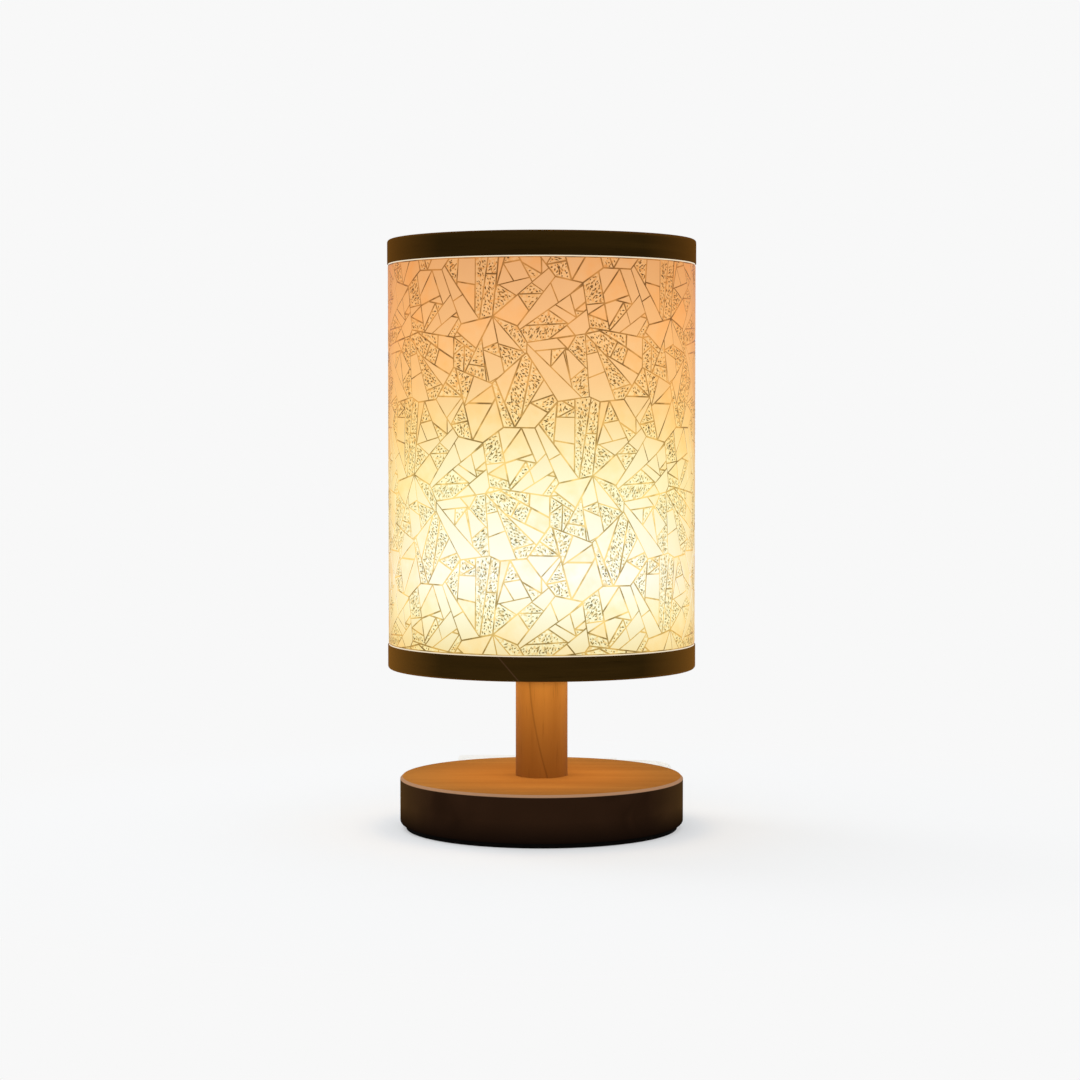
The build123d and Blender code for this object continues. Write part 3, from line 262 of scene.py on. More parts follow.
def clipped(polygon, point, normal):
    """The part of a convex polygon on the side of a line that its normal points to."""
    kept = []
    for index, here in enumerate(polygon):
        before = polygon[index - 1]
        side_before = (before - point).dot(normal)
        side_here = (here - point).dot(normal)
        if (side_before > 0) != (side_here > 0):
            t = side_before / (side_before - side_here)
            kept.append(before.lerp(here, t))
        if side_here > 0:
            kept.append(here)
    return tidy(kept)


def tidy(polygon):
    """The polygon without points that lie on their neighbours."""
    kept = [p for index, p in enumerate(polygon) if (p - polygon[index - 1]).length > SAME_POINT]
    return kept if len(kept) > 2 else []


def area(polygon):
    return 0.5 * sum(polygon[i - 1].cross(polygon[i]) for i in range(len(polygon)))


def centre(polygon):
    return sum(polygon, Vector((0, 0))) / len(polygon)


def halves(polygon, point, direction):
    """Both sides of a cut along a line."""
    normal = Vector((-direction.y, direction.x))
    return [side for side in (clipped(polygon, point, normal), clipped(polygon, point, -normal)) if side]


def widest_direction(polygon):
    pairs = [(a - b) for i, a in enumerate(polygon) for b in polygon[:i]]
    return max(pairs, key=lambda d: d.length).normalized()


def turned(direction, degrees):
    cos, sin = math.cos(math.radians(degrees)), math.sin(math.radians(degrees))
    return Vector((direction.x * cos - direction.y * sin, direction.x * sin + direction.y * cos))


def cut_in_strips(polygon, rng):
    """Long, nearly parallel shards."""
    along = turned(widest_direction(polygon), rng.uniform(-12, 12))
    across = Vector((-along.y, along.x))
    reach = [(p - centre(polygon)).dot(across) for p in polygon]
    width = max(reach) - min(reach)
    count = max(1, round(width / rng.uniform(*STRIP_WIDTH)) - 1)
    pieces, rest = [], polygon
    for step in range(1, count + 1):
        offset = min(reach) + width * (step + rng.uniform(-0.12, 0.12)) / (count + 1)
        normal = turned(across, rng.uniform(-9, 9))
        at = centre(polygon) + across * offset
        near, far = clipped(rest, at, -normal), clipped(rest, at, normal)
        if near:
            pieces.append(near)
        if not far:
            return pieces
        rest = far
    return pieces + [rest]


def cut_in_fan(polygon, rng):
    """Wedges that meet in one corner or in one point of an edge."""
    index = rng.randrange(len(polygon))
    corner, following = polygon[index], polygon[(index + 1) % len(polygon)]
    previous = polygon[index - 1]
    if rng.random() < FAN_FROM_EDGE_CHANCE:
        previous = corner
        corner = corner.lerp(following, rng.uniform(0.25, 0.75))
    following, previous = following - corner, previous - corner
    opening = following.angle(previous)
    count = max(2, min(3, round(math.degrees(opening) / rng.uniform(*WEDGE_DEGREES))))
    pieces, rest = [], polygon
    for step in range(1, count):
        share = (step + rng.uniform(-0.2, 0.2)) / count
        direction = turned(following.normalized(), math.degrees(opening) * share)
        normal = Vector((-direction.y, direction.x))
        near, rest_after = clipped(rest, corner, -normal), clipped(rest, corner, normal)
        if near:
            pieces.append(near)
        if not rest_after:
            return pieces
        rest = rest_after
    return pieces + [rest]


def cut_across(polygon, rng):
    """One slanting cut through the middle, the short way."""
    direction = turned(widest_direction(polygon), 90 + rng.uniform(-32, 32))
    middle = centre(polygon) + widest_direction(polygon) * rng.uniform(-3, 3) * MM
    return halves(polygon, middle, direction)


def shattered(polygon, rng, depth=0):
    """Cuts a polygon into strips, wedges and short tiles until its pieces are small."""
    size = area(polygon) / MM**2
    if size < rng.uniform(*UNCUT_SIZE) or depth > CUTS_DEEP:
        return [polygon]
    length = max((a - b).length for a in polygon for b in polygon)
    slender = length**2 / (size * MM**2)
    if slender > NEEDLE_SHARD and rng.random() < KEEP_NEEDLE_CHANCE:
        return [polygon]
    if slender > LONG_SHARD:
        parts = cut_across(polygon, rng)
    elif rng.random() < STRIP_CHANCE and size > STRIP_SIZE:
        parts = cut_in_strips(polygon, rng)
    else:
        parts = cut_in_fan(polygon, rng)
    if len(parts) == 1:
        return parts
    return [shard for part in parts for shard in shattered(part, rng, depth + 1)]


def lattice(reach):
    """Shifts that repeat the motif in a half-drop pattern."""
    for row in range(-reach, reach + 1):
        for column in range(-reach, reach + 1):
            yield Vector(((column + (row % 2) / 2) * MOTIF_WIDTH, row * MOTIF_HEIGHT))


def coarse_cells(rng):
    """Irregular cells that tile the motif without a seam."""
    seeds = []
    tries = 0
    apart = 0.72 * math.sqrt(MOTIF_WIDTH * MOTIF_HEIGHT / COARSE_CELLS)
    while len(seeds) < COARSE_CELLS and tries < SEED_TRIES:
        tries += 1
        trial = Vector((rng.random() * MOTIF_WIDTH, rng.random() * MOTIF_HEIGHT))
        if all((trial - other - shift).length > apart for other in seeds for shift in lattice(1)):
            seeds.append(trial)
    cells = []
    far = MOTIF_WIDTH * 2
    for seed in seeds:
        cell = [seed + Vector(p) for p in ((-far, -far), (far, -far), (far, far), (-far, far))]
        for other in seeds:
            for shift in lattice(2):
                rival = other + shift
                if (rival - seed).length > SAME_POINT:
                    cell = clipped(cell, (seed + rival) / 2, seed - rival)
        cells.append(cell)
    return cells


def motif():
    """The shards of one motif, each with its kind: smooth or speckled."""
    rng = random.Random(SEED)
    shards = [shard for cell in coarse_cells(rng) for shard in shattered(cell, rng)]
    kinds = []
    for shard in shards:
        chance = SPECKLED_TRIANGLE_CHANCE if len(shard) == 3 else SPECKLED_CHANCE
        if area(shard) / MM**2 < SMALL_SHARD_SIZE:
            chance = SPECKLED_SMALL_CHANCE
        kinds.append("speckled" if rng.random() < chance else "smooth")
    return list(zip(shards, kinds))


def inset(polygon, distance):
    """The polygon with every side moved inward."""
    result = polygon
    for index, here in enumerate(polygon):
        before = polygon[index - 1]
        along = (here - before).normalized()
        inward = Vector((-along.y, along.x))
        result = clipped(result, before + inward * distance, inward)
        if not result:
            return []
    return result


SHARPEST_CORNER = 0.001  # half the squared length of a corner's two unit normals added up


def lofted_inset(polygon, distance):
    """An inset with as many points, for a bevel between the two outlines; empty if it would fold."""
    points = []
    count = len(polygon)
    for index, here in enumerate(polygon):
        before, after = polygon[index - 1], polygon[(index + 1) % count]
        first, second = (here - before).normalized(), (after - here).normalized()
        bisector = Vector((-first.y, first.x)) + Vector((-second.y, second.x))
        scale = bisector.length_squared / 2
        if scale < SHARPEST_CORNER:
            return []
        points.append(here + bisector * (distance / scale))
    if area(points) <= 0:
        return []
    for index, point in enumerate(points):
        if (point - points[index - 1]).dot(polygon[index] - polygon[index - 1]) <= 0:
            return []
    return points


# ------------------------------------------------------------------ shade film: sheet, tiles and strokes

RELIEF = 0.13 * MM
SPECKLED_RELIEF = RELIEF * 0.4
PLATE_SINK = 0.03 * MM
STROKE_SINK = 0.02 * MM
HAIR = 0.02 * MM
FILM_INSIDE_RADIUS = 64.2 * MM
SHEET_RADIUS = FILM_RADIUS - RELIEF - HAIR
SHEET_THICKNESS = FILM_RADIUS - FILM_INSIDE_RADIUS - RELIEF
SEAM_ARC = math.pi / 2 * FILM_RADIUS
CIRCUMFERENCE = math.tau * FILM_RADIUS
SHEET_SEGMENTS = 144
SLICE = CIRCUMFERENCE / SHEET_SEGMENTS
WELD = 0.002 * MM
BEVEL = 0.12 * MM
BEVEL_SHARES = (1, 0.4, 0.1)
EDGE_MARGIN = 0.55 * MM
SMALLEST_PLATE = 0.6 * MM**2
LINE_VARIATION = 0.35
MOTIF_START = 0.55

STROKE_MARGIN = 0.42 * MM
STROKE_GAP = 1.05 * MM
STROKE_STEP = STROKE_GAP * 1.5
STROKE_TURN = (20, 75)
STROKE_TURN_SPREAD = 28
STROKE_HALF_LENGTH = (0.55, 1.35)
STROKE_HALF_WIDTH = (0.27 * MM, 0.42 * MM)
STROKE_HEIGHT = (0.05 * MM, 0.1 * MM)
STROKE_SHARES = (1, 0.6, 0.35)
BARE_CHANCE = 0.08


class Wrapped:
    """Solids drawn flat as (arc, height, relief) polygons, cut in strips and wrapped round the drum."""

    def __init__(self):
        self.verts, self.faces, self.tones = [], [], []
        self.known = {}

    def vertex(self, point):
        key = tuple(round(value / WELD) for value in point)
        if key not in self.known:
            arc, height, relief = point
            angle = arc / FILM_RADIUS
            radius = SHEET_RADIUS + relief
            self.known[key] = len(self.verts)
            self.verts.append((radius * math.cos(angle), radius * math.sin(angle), height))
        return self.known[key]

    def polygon(self, points, tone):
        """Adds one flat polygon, cut at every slice line it crosses."""
        first = math.floor(min(p[0] for p in points) / SLICE)
        last = math.floor(max(p[0] for p in points) / SLICE)
        for step in range(first, last + 1):
            part = cut_between(points, step * SLICE, (step + 1) * SLICE)
            corners = list(dict.fromkeys(self.vertex(p) for p in part))
            if len(corners) > 2:
                self.faces.append(corners)
                self.tones.append(tone)

    def plate(self, outline, top, tone):
        """A raised plate with bevelled sides, sunk a hair into the sheet."""
        self.known = {}
        rims = (lofted_inset(outline, BEVEL * share) for share in BEVEL_SHARES)
        rim = next((r for r in rims if r), outline)
        low, high = -PLATE_SINK, top
        self.polygon([(*p, high) for p in rim], tone)
        self.polygon([(*p, low) for p in reversed(outline)], tone)
        for index in range(len(outline)):
            a, b = outline[index - 1], outline[index]
            c, d = rim[index], rim[index - 1]
            self.polygon([(*a, low), (*b, low), (*c, high), (*d, high)], tone)

    def stroke(self, start, middle, end, half_width, base, height, tone):
        """A small bent ridge, pointed at both ends."""
        self.known = {}
        side = (end - start).normalized()
        side = Vector((-side.y, side.x)) * half_width
        left, right = middle + side, middle - side
        low, top = base - STROKE_SINK, base + height
        s, l, r, e, m = (self.vertex((*p, z)) for p, z in
                         ((start, low), (left, low), (right, low), (end, low), (middle, top)))
        for face in ((s, r, m), (r, e, m), (e, l, m), (l, s, m), (s, l, r), (l, e, r)):
            self.faces.append(list(face))
            self.tones.append(tone)


def cut_between(points, low, high):
    """The part of a flat polygon between two arc positions."""
    for limit, sign in ((low, 1), (high, -1)):
        kept = []
        for index, here in enumerate(points):
            before = points[index - 1]
            side_before, side_here = sign * (before[0] - limit), sign * (here[0] - limit)
            if (side_before > 0) != (side_here > 0):
                t = side_before / (side_before - side_here)
                kept.append((limit, *(b + (h - b) * t for b, h in zip(before[1:], here[1:]))))
            if side_here > 0:
                kept.append(here)
        points = kept
        if not points:
            return []
    return points


def crackle(shard, rng):
    """Short strokes that follow a common direction inside a speckled shard."""
    room = inset(shard, STROKE_MARGIN)
    if not room:
        return []
    flow = turned(widest_direction(shard), rng.uniform(*STROKE_TURN) * rng.choice((-1, 1)))
    across = Vector((-flow.y, flow.x))
    middle = centre(room)
    reach = max((p - middle).length for p in room)
    steps = int(reach / STROKE_GAP) + 1
    strokes = []
    for row in range(-steps, steps + 1):
        for column in range(-steps, steps + 1):
            place = middle + across * STROKE_GAP * (row + rng.uniform(-0.32, 0.32))
            place += flow * STROKE_STEP * (column + (row % 2) / 2 + rng.uniform(-0.3, 0.3))
            half = turned(flow, rng.gauss(0, STROKE_TURN_SPREAD)) * rng.uniform(*STROKE_HALF_LENGTH) * MM
            bend = Vector((-half.y, half.x)) * rng.uniform(-0.35, 0.35)
            half_width = rng.uniform(*STROKE_HALF_WIDTH)
            tone = rng.random()
            height = rng.uniform(*STROKE_HEIGHT)
            if rng.random() < BARE_CHANCE:
                continue
            for share in STROKE_SHARES:
                ends = (place - half * share, place + half * share)
                if all(inside(room, p) for p in ends):
                    strokes.append((ends[0], place + bend * share, ends[1], half_width, height, tone))
                    break
    return strokes


def inside(polygon, point):
    return all((polygon[i] - polygon[i - 1]).cross(point - polygon[i - 1]) > 0 for i in range(len(polygon)))


def within_sheet(polygon):
    """A shard trimmed at the sheet's edges and at its seam."""
    for point, normal in (
        (Vector((SEAM_ARC, 0)), Vector((1, 0))),
        (Vector((SEAM_ARC + CIRCUMFERENCE, 0)), Vector((-1, 0))),
        (Vector((0, FILM_BOTTOM + EDGE_MARGIN)), Vector((0, 1))),
        (Vector((0, FILM_TOP - EDGE_MARGIN)), Vector((0, -1))),
    ):
        polygon = clipped(polygon, point, normal) if polygon else []
    return polygon


def make_film():
    """Fills the drum with repeats of the motif: plates for every shard, strokes on the speckled ones."""
    rng = random.Random(SEED + 1)
    design = [(shard, kind, crackle(shard, rng) if kind == "speckled" else [], rng.uniform(-1, 1))
              for shard, kind in motif()]
    tiles, speckled, strokes = Wrapped(), Wrapped(), Wrapped()
    rows = int((FILM_TOP - FILM_BOTTOM) / MOTIF_HEIGHT) + 2
    places = [(row, column) for row in range(-1, rows) for column in range(-1, MOTIF_REPEATS + 2)]
    for row, column in places:
        arc = SEAM_ARC + (column + (row % 2) / 2 - 1) * MOTIF_WIDTH
        shift = Vector((arc, FILM_BOTTOM + (row - MOTIF_START) * MOTIF_HEIGHT))
        for shard, kind, marks, tone in design:
            outline = within_sheet([p + shift for p in shard])
            outline = inset(outline, LINE_WIDTH / 2 * (1 + LINE_VARIATION * tone)) if outline else []
            if not outline or area(outline) < SMALLEST_PLATE:
                continue
            if kind == "smooth":
                tiles.plate(outline, RELIEF, tone)
                continue
            speckled.plate(outline, SPECKLED_RELIEF, tone)
            for start, middle, end, half_width, height, mark_tone in marks:
                start, middle, end = start + shift, middle + shift, end + shift
                if inside(outline, start) and inside(outline, end):
                    strokes.stroke(start, middle, end, half_width, SPECKLED_RELIEF, height, mark_tone)
    return tiles, speckled, strokes


def add_tones(thing, tones):
    """Stores each face's tone where its material can read it."""
    layer = thing.data.attributes.new("tone", "FLOAT", "FACE")
    layer.data.foreach_set("value", tones)


def object_height(shader):
    coordinates = shader.add("ShaderNodeTexCoord")
    return shader.add("ShaderNodeSeparateXYZ", Vector=coordinates.outputs["Object"]).outputs["Z"]


def facing(shader):
    """0 where the surface looks at the eye, 1 at its silhouette."""
    return shader.add("ShaderNodeLayerWeight", Blend=0.5).outputs["Facing"]


def share_of_height(shader):
    """Height on the sheet from 0 to 1, a little uneven so that the glow has no ruled bands."""
    drift = shader.noise(shader.position((9, 9, 9)), 1.0, 2.0)
    height = shader.math("ADD", object_height(shader), shader.spread(drift, 0.3, 0.7, -3 * MM, 3 * MM))
    return shader.spread(height, FILM_BOTTOM, FILM_TOP)


def glow(shader):
    """Colour of the lit film by height: amber at the top, nearly white level with the bulb; darker and warmer
    towards the silhouette as painted shading.
    """
    color = shader.ramp(share_of_height(shader), [
        (0.0, linear(244, 226, 172)),
        (0.1, linear(254, 251, 220)),
        (0.19, linear(255, 255, 244)),
        (0.32, linear(254, 252, 226)),
        (0.42, linear(254, 248, 206)),
        (0.5, linear(254, 238, 188)),
        (0.57, linear(252, 222, 161)),
        (0.68, linear(250, 203, 141)),
        (0.84, linear(245, 187, 127)),
        (1.0, linear(229, 168, 112)),
    ])
    # painted shading: the glow darkens and warms towards the silhouette
    edge = shader.ramp(facing(shader), [
        (0.0, (1.0, 1.0, 1.0)),
        (0.22, (1.0, 0.99, 0.94)),
        (0.5, (1.0, 0.9, 0.7)),
        (0.72, (0.95, 0.78, 0.5)),
        (0.9, (0.7, 0.48, 0.24)),
        (1.0, (0.5, 0.3, 0.12)),
    ])
    return shader.mix(1.0, color, edge, "MULTIPLY")


def film_surface(shader, color, amount):
    """Turns a colour and an amount into a translucent-looking, lit surface."""
    lit = shader.add("ShaderNodeVectorMath", operation="SCALE")
    shader.join(color, lit, 0)
    shader.tree.links.new(amount, lit.inputs["Scale"])
    grain = shader.noise(shader.position((900, 900, 900)), 2.0, 2.0)
    return shader.finish(
        Base_Color=shader.mix(0.8, lit.outputs["Vector"], (0, 0, 0)), Emission_Color=lit.outputs["Vector"],
        Emission_Strength=0.86, Roughness=0.42, Specular_IOR_Level=0.08,
        Normal=shader.bump(grain, 0.02 * MM, 0.4),
    )


def tone_of(shader):
    """The tone stored with each shard or stroke, softened with a cloudy drift."""
    tone = shader.add("ShaderNodeAttribute", attribute_name="tone").outputs["Fac"]
    cloud = shader.noise(shader.position((60, 60, 60)), 3.0, 3.0)
    return shader.math("ADD", tone, shader.spread(cloud, 0.3, 0.7, -0.4, 0.4))


def thinned(shader, amount):
    """Dark marks fade where the bulb is close behind them."""
    stops = (0.0, 0.57), (0.12, 0.87), (0.25, 1.0), (0.4, 0.84), (0.55, 0.62), (1.0, 0.545)
    thin = shader.ramp(share_of_height(shader), [(place, (value,) * 3) for place, value in stops])
    return shader.math("MINIMUM", shader.math("MULTIPLY", amount, shader.math("MULTIPLY", thin, 1.6)), 1.0)


def smooth_material():
    """Plain shards; some are a deeper, peach tone."""
    shader = Shader("film_tiles")
    tone = tone_of(shader)
    amount = shader.spread(tone, -1.2, 1.2, 0.96, 1.03)
    peach = shader.mix(shader.spread(tone, 0.3, 1.25), (1.0, 1.0, 1.0), (1.0, 0.88, 0.7))
    return film_surface(shader, shader.mix(1.0, glow(shader), peach, "MULTIPLY"), amount)


def speckled_material():
    """Ground of the crackled shards: mottled cream and amber."""
    shader = Shader("film_speckled")
    amount = shader.spread(tone_of(shader), -1.2, 1.2, 0.96, 1.04)
    mottle = shader.noise(shader.position(), 900.0, 2.0, 0.6)
    tint = shader.ramp(mottle, [
        (0.34, (0.88, 0.7, 0.46)), (0.45, (0.98, 0.93, 0.76)),
        (0.53, (1.0, 1.03, 1.0)), (0.66, (1.02, 1.08, 1.12)),
    ])
    return film_surface(shader, shader.mix(1.0, glow(shader), tint, "MULTIPLY"), amount)


def stroke_material():
    shader = Shader("film_strokes")
    amount = thinned(shader, shader.spread(tone_of(shader), -0.3, 1.3, 0.1, 0.5))
    color = shader.mix(1.0, glow(shader), (1.0, 0.83, 0.48), "MULTIPLY")
    return film_surface(shader, color, amount)


def line_material():
    """Grooves between the shards: from thin and dark to soft and orange; bare, bright rims at the hoops."""
    shader = Shader("film_lines")
    patch = shader.noise(shader.position(), 150.0, 2.0)
    amount = thinned(shader, shader.spread(patch, 0.36, 0.62, 0.28, 0.78))
    upward = shader.spread(share_of_height(shader), 0.35, 0.62)
    tint = shader.mix(upward, (1.0, 0.76, 0.37), (1.0, 0.82, 0.49))
    color = shader.mix(1.0, glow(shader), tint, "MULTIPLY")
    height = object_height(shader)
    middle = (FILM_BOTTOM + FILM_TOP) / 2
    from_middle = shader.math("ABSOLUTE", shader.math("SUBTRACT", height, middle))
    rim = shader.math("GREATER_THAN", from_middle, FILM_TOP - middle - EDGE_MARGIN * 0.85)
    color = shader.mix(rim, color, (1.0, 0.86, 0.64))
    amount = shader.math("MAXIMUM", amount, shader.math("MULTIPLY", rim, 0.86))
    return film_surface(shader, color, amount)


def inner_film_material():
    """The back of the sheet: the lines between the shards show through as a faint net."""
    shader = Shader("film_inside")
    parts = shader.add("ShaderNodeSeparateXYZ", Vector=shader.cylinder_position(SHEET_RADIUS))
    flat = shader.add("ShaderNodeCombineXYZ", X=parts.outputs["X"], Y=parts.outputs["Z"])
    net = shader.add("ShaderNodeTexVoronoi", voronoi_dimensions="2D", feature="DISTANCE_TO_EDGE", Scale=110.0,
                     Vector=flat.outputs["Vector"])
    shade = shader.spread(net.outputs["Distance"], 0.01, 0.05)
    color = shader.mix(1.0, glow(shader), shader.mix(shade, (0.72, 0.6, 0.4), (1.0, 1.0, 1.0)), "MULTIPLY")
    fibre = shader.noise(shader.position((250, 250, 250)), 1.0, 3.0)
    return shader.finish(
        Base_Color=shader.mix(shade, (0.2, 0.16, 0.1), (0.4, 0.36, 0.28)), Roughness=0.6,
        Emission_Color=color, Emission_Strength=0.75,
        Normal=shader.bump(fibre, 0.04 * MM, 0.5),
    )


def build_shade_film():
    tiles, speckled, strokes = make_film()
    inner = SHEET_RADIUS - SHEET_THICKNESS
    profile = [(inner, FILM_BOTTOM), (SHEET_RADIUS, FILM_BOTTOM), (SHEET_RADIUS, FILM_TOP), (inner, FILM_TOP)]
    verts, faces = lathe(profile, SHEET_SEGMENTS)
    materials = [line_material(), inner_film_material()]
    inside_faces = [1 if index >= 3 * SHEET_SEGMENTS else 0 for index in range(len(faces))]
    piece("shade_film_sheet", verts, faces, "lamp", materials, ["shade_film"], inside_faces)
    for name, wrapped, material in (
        ("shade_film_tiles", tiles, smooth_material()),
        ("shade_film_speckled", speckled, speckled_material()),
        ("shade_film_strokes", strokes, stroke_material()),
    ):
        thing = piece(
            name, wrapped.verts, wrapped.faces, "lamp", [material], sharp=FILM_SHARP_ANGLE
        )
        if len(thing.data.polygons) == len(wrapped.tones):
            add_tones(thing, wrapped.tones)


# ------------------------------------------------------------------ wood

def wood_material(name, pale, dark, grain, roughness, specular, tone=None, vein=None, rim=None):
    """Wood with growth bands, fibres and pores along the grain; rim is a painted warm sheen at the
    silhouette.
    """
    shader = Shader(name)
    vector = grain(shader)
    bands = shader.noise(vector, 55.0, 2.0, 0.5, 1.2)
    fibres = shader.noise(vector, 420.0, 4.0, 0.65)
    pores = shader.noise(vector, 1500.0, 2.0, 0.5)
    amount = shader.spread(bands, 0.32, 0.68)
    color = shader.mix(amount, pale, dark)
    color = shader.mix(shader.spread(fibres, 0.35, 0.75, 0.0, 0.4), color, dark)
    color = shader.mix(shader.spread(pores, 0.62, 0.8, 0.0, 0.5), color, scaled(dark, 0.5))
    if vein:
        color = shader.mix(vein(shader), color, scaled(dark, 0.55))
    if tone:
        color = tone(shader, color, amount)
    # painted warm sheen towards the silhouette
    if rim:
        color = shader.mix(shader.spread(facing(shader), 0.25, 0.95), color, rim)
    relief = shader.math("ADD", shader.math("MULTIPLY", fibres, 0.7), shader.math("MULTIPLY", pores, -0.5))
    return shader.finish(
        Base_Color=color, Specular_IOR_Level=specular,
        Roughness=shader.spread(fibres, 0.2, 0.8, roughness - 0.08, roughness + 0.12),
        Normal=shader.bump(relief, 0.06 * MM, 0.5),
    )


JOINT_FOOT_X = -9.4 * MM
JOINT_FOOT_Z = lower_hoop_bottom + 0.6 * MM
JOINT_SLOPE = 0.86


def round_grain(shader):
    return shader.cylinder_position(HOOP_RADIUS, (0.045, 1, 1))


def upright_grain(shader):
    return shader.position((1, 1, 0.05))


def plank_grain(shader):
    return shader.position((0.05, 1, 0.6))


def base_painted_light(shader, color, amount):
    """Orange-brown wood on top; the rest is painted light: a pale painted highlight on the bevel, the side
    painted dark as shade with a warm painted sheen towards its silhouette, and a painted shadow darkest at
    the very foot.
    """
    height = object_height(shader)
    # painted shade: the side is made dark where the bulb's light doesn't reach
    side = shader.mix(amount, (0.03, 0.0135, 0.0065), (0.018, 0.0082, 0.004))
    # painted warm sheen towards the silhouette
    side = shader.mix(shader.spread(facing(shader), 0.35, 0.98), side, (0.075, 0.038, 0.0125))
    # painted shadow, darkest at the very foot
    foot = shader.spread(height, base_low.z + 0.5 * MM, base_low.z + 9 * MM)
    side = shader.mix(foot, (0.008, 0.004, 0.0025), side)
    # painted highlight along the bevel
    bevel = shader.spread(height, BASE_TOP - 1.25 * MM, BASE_TOP - 1.0 * MM)
    top = shader.spread(height, BASE_TOP - 0.12 * MM, BASE_TOP - 0.04 * MM)
    with_bevel_highlight = shader.mix(bevel, side, (0.42, 0.24, 0.14))
    return shader.mix(top, with_bevel_highlight, color)


def scarf_joint(shader, color, amount):
    """The bent strip of the lower hoop meets itself in a slanted, glued joint at the front."""
    coordinates = shader.add("ShaderNodeTexCoord")
    parts = shader.add("ShaderNodeSeparateXYZ", Vector=coordinates.outputs["Object"])
    climb = shader.math("MULTIPLY", shader.math("SUBTRACT", parts.outputs["Z"], JOINT_FOOT_Z), JOINT_SLOPE)
    across = shader.math("SUBTRACT", shader.math("ADD", parts.outputs["X"], climb), JOINT_FOOT_X)
    line = shader.spread(shader.math("ABSOLUTE", across), 0.12 * MM, 0.42 * MM, 0.6, 0.0)
    front = shader.math("LESS_THAN", parts.outputs["Y"], 0.0)
    return shader.mix(shader.math("MULTIPLY", line, front), color, (0.085, 0.042, 0.022))


def stem_painted_light(shader, color, amount):
    """Painted light: paler towards the top, most of all just under the shade where the bulb's light falls;
    painted shade towards the foot.
    """
    height = shader.spread(object_height(shader), stem_low.z, stem_high.z)
    # painted shade towards the foot
    foot = shader.mix(1.0, color, (0.78, 0.82, 0.84), "MULTIPLY")
    # painted light towards the top, under the shade
    head = shader.mix(1.0, color, (1.75, 1.98, 2.15), "MULTIPLY")
    return shader.mix(shader.math("MULTIPLY", height, height), foot, head)


VEIN_START = -5 * MM
VEIN_LEAN = 7.5 * MM


def stem_vein(shader):
    """A darker vein that leans across the front of the stem, from the upper left to the lower right."""
    coordinates = shader.add("ShaderNodeTexCoord")
    parts = shader.add("ShaderNodeSeparateXYZ", Vector=coordinates.outputs["Object"])
    down = shader.spread(parts.outputs["Z"], stem_high.z, stem_low.z)
    path = shader.math("MULTIPLY", shader.math("POWER", down, 1.6), VEIN_LEAN)
    across = shader.math("SUBTRACT", parts.outputs["X"], shader.math("ADD", path, VEIN_START))
    return shader.spread(shader.math("ABSOLUTE", across), 0.1 * MM, 0.5 * MM, 0.5, 0.0)


# ------------------------------------------------------------------ plastics, metals and boards

def made_material(name, color, roughness, metallic=0.0, drift=0.06, scale=60, depth=0.01, grain=600, **more):
    """A made surface: slow colour drift, fine grain, uneven gloss."""
    shader = Shader(name)
    slow = shader.noise(shader.position(), scale, 3.0)
    fine = shader.noise(shader.position(), grain, 4.0)
    paler = tuple(min(1.0, value * (1 + drift)) for value in color)
    body = shader.mix(shader.spread(slow, 0.3, 0.7), scaled(color, 1 - drift), paler)
    body = shader.mix(shader.spread(fine, 0.55, 0.8, 0.0, 0.25), body, scaled(color, 0.7))
    return shader.finish(
        Base_Color=body, Metallic=metallic, Normal=shader.bump(fine, depth * MM, 0.5),
        Roughness=shader.spread(fine, 0.25, 0.75, roughness * 0.8, roughness * 1.3), **more,
    )


def opal_material():
    """Lit opal plastic: brightest at the crown and warmer at its edge."""
    shader = Shader("opal")
    cloud = shader.noise(shader.position(), 90.0, 3.0)
    lit = shader.mix(shader.spread(facing(shader), 0.0, 0.85), (1.0, 0.94, 0.76), (1.0, 0.72, 0.4))
    lit = shader.mix(shader.spread(cloud, 0.4, 0.7, 0.0, 0.2), lit, (1.0, 0.84, 0.6))
    return shader.finish(
        Base_Color=(0.3, 0.29, 0.27, 1), Roughness=0.35, Emission_Color=lit, Emission_Strength=1.0,
        Normal=shader.bump(cloud, 0.01 * MM, 0.3),
    )


def board_material():
    """Green solder mask with faint copper tracks under it."""
    shader = Shader("driver_board")
    track = shader.add("ShaderNodeTexBrick", Vector=shader.position((1, 1, 1)), Scale=260.0)
    track.inputs["Mortar Size"].default_value = 0.03
    fine = shader.noise(shader.position(), 700.0, 3.0)
    color = shader.mix(track.outputs["Fac"], (0.02, 0.1, 0.045), (0.07, 0.2, 0.08))
    color = shader.mix(shader.spread(fine, 0.4, 0.8, 0.0, 0.3), color, (0.01, 0.06, 0.03))
    return shader.finish(Base_Color=color, Roughness=0.4, Normal=shader.bump(fine, 0.01 * MM, 0.4))


def wood_finishes():
    hoop = (0.034, 0.0175, 0.0035), (0.012, 0.0066, 0.0018), round_grain, 0.55, 0.0
    disc = (0.435, 0.198, 0.047), (0.34, 0.146, 0.034), plank_grain, 0.55, 0.0
    post = (0.435, 0.16, 0.025), (0.335, 0.114, 0.0155), upright_grain, 0.55, 0.03
    # colours of the painted warm sheen at each hoop's silhouette
    upper_sheen, lower_sheen = (0.13, 0.052, 0.008), (0.2, 0.083, 0.013)
    return [
        (wood_material("dark_wood", *hoop, rim=upper_sheen), "upper_hoop"),
        (wood_material("jointed_wood", *hoop, tone=scarf_joint, rim=lower_sheen), "lower_hoop"),
        (wood_material("base_wood", *disc, tone=base_painted_light), "base_disc"),
        (wood_material("brown_wood", *post, tone=stem_painted_light, vein=stem_vein), "stem"),
    ]


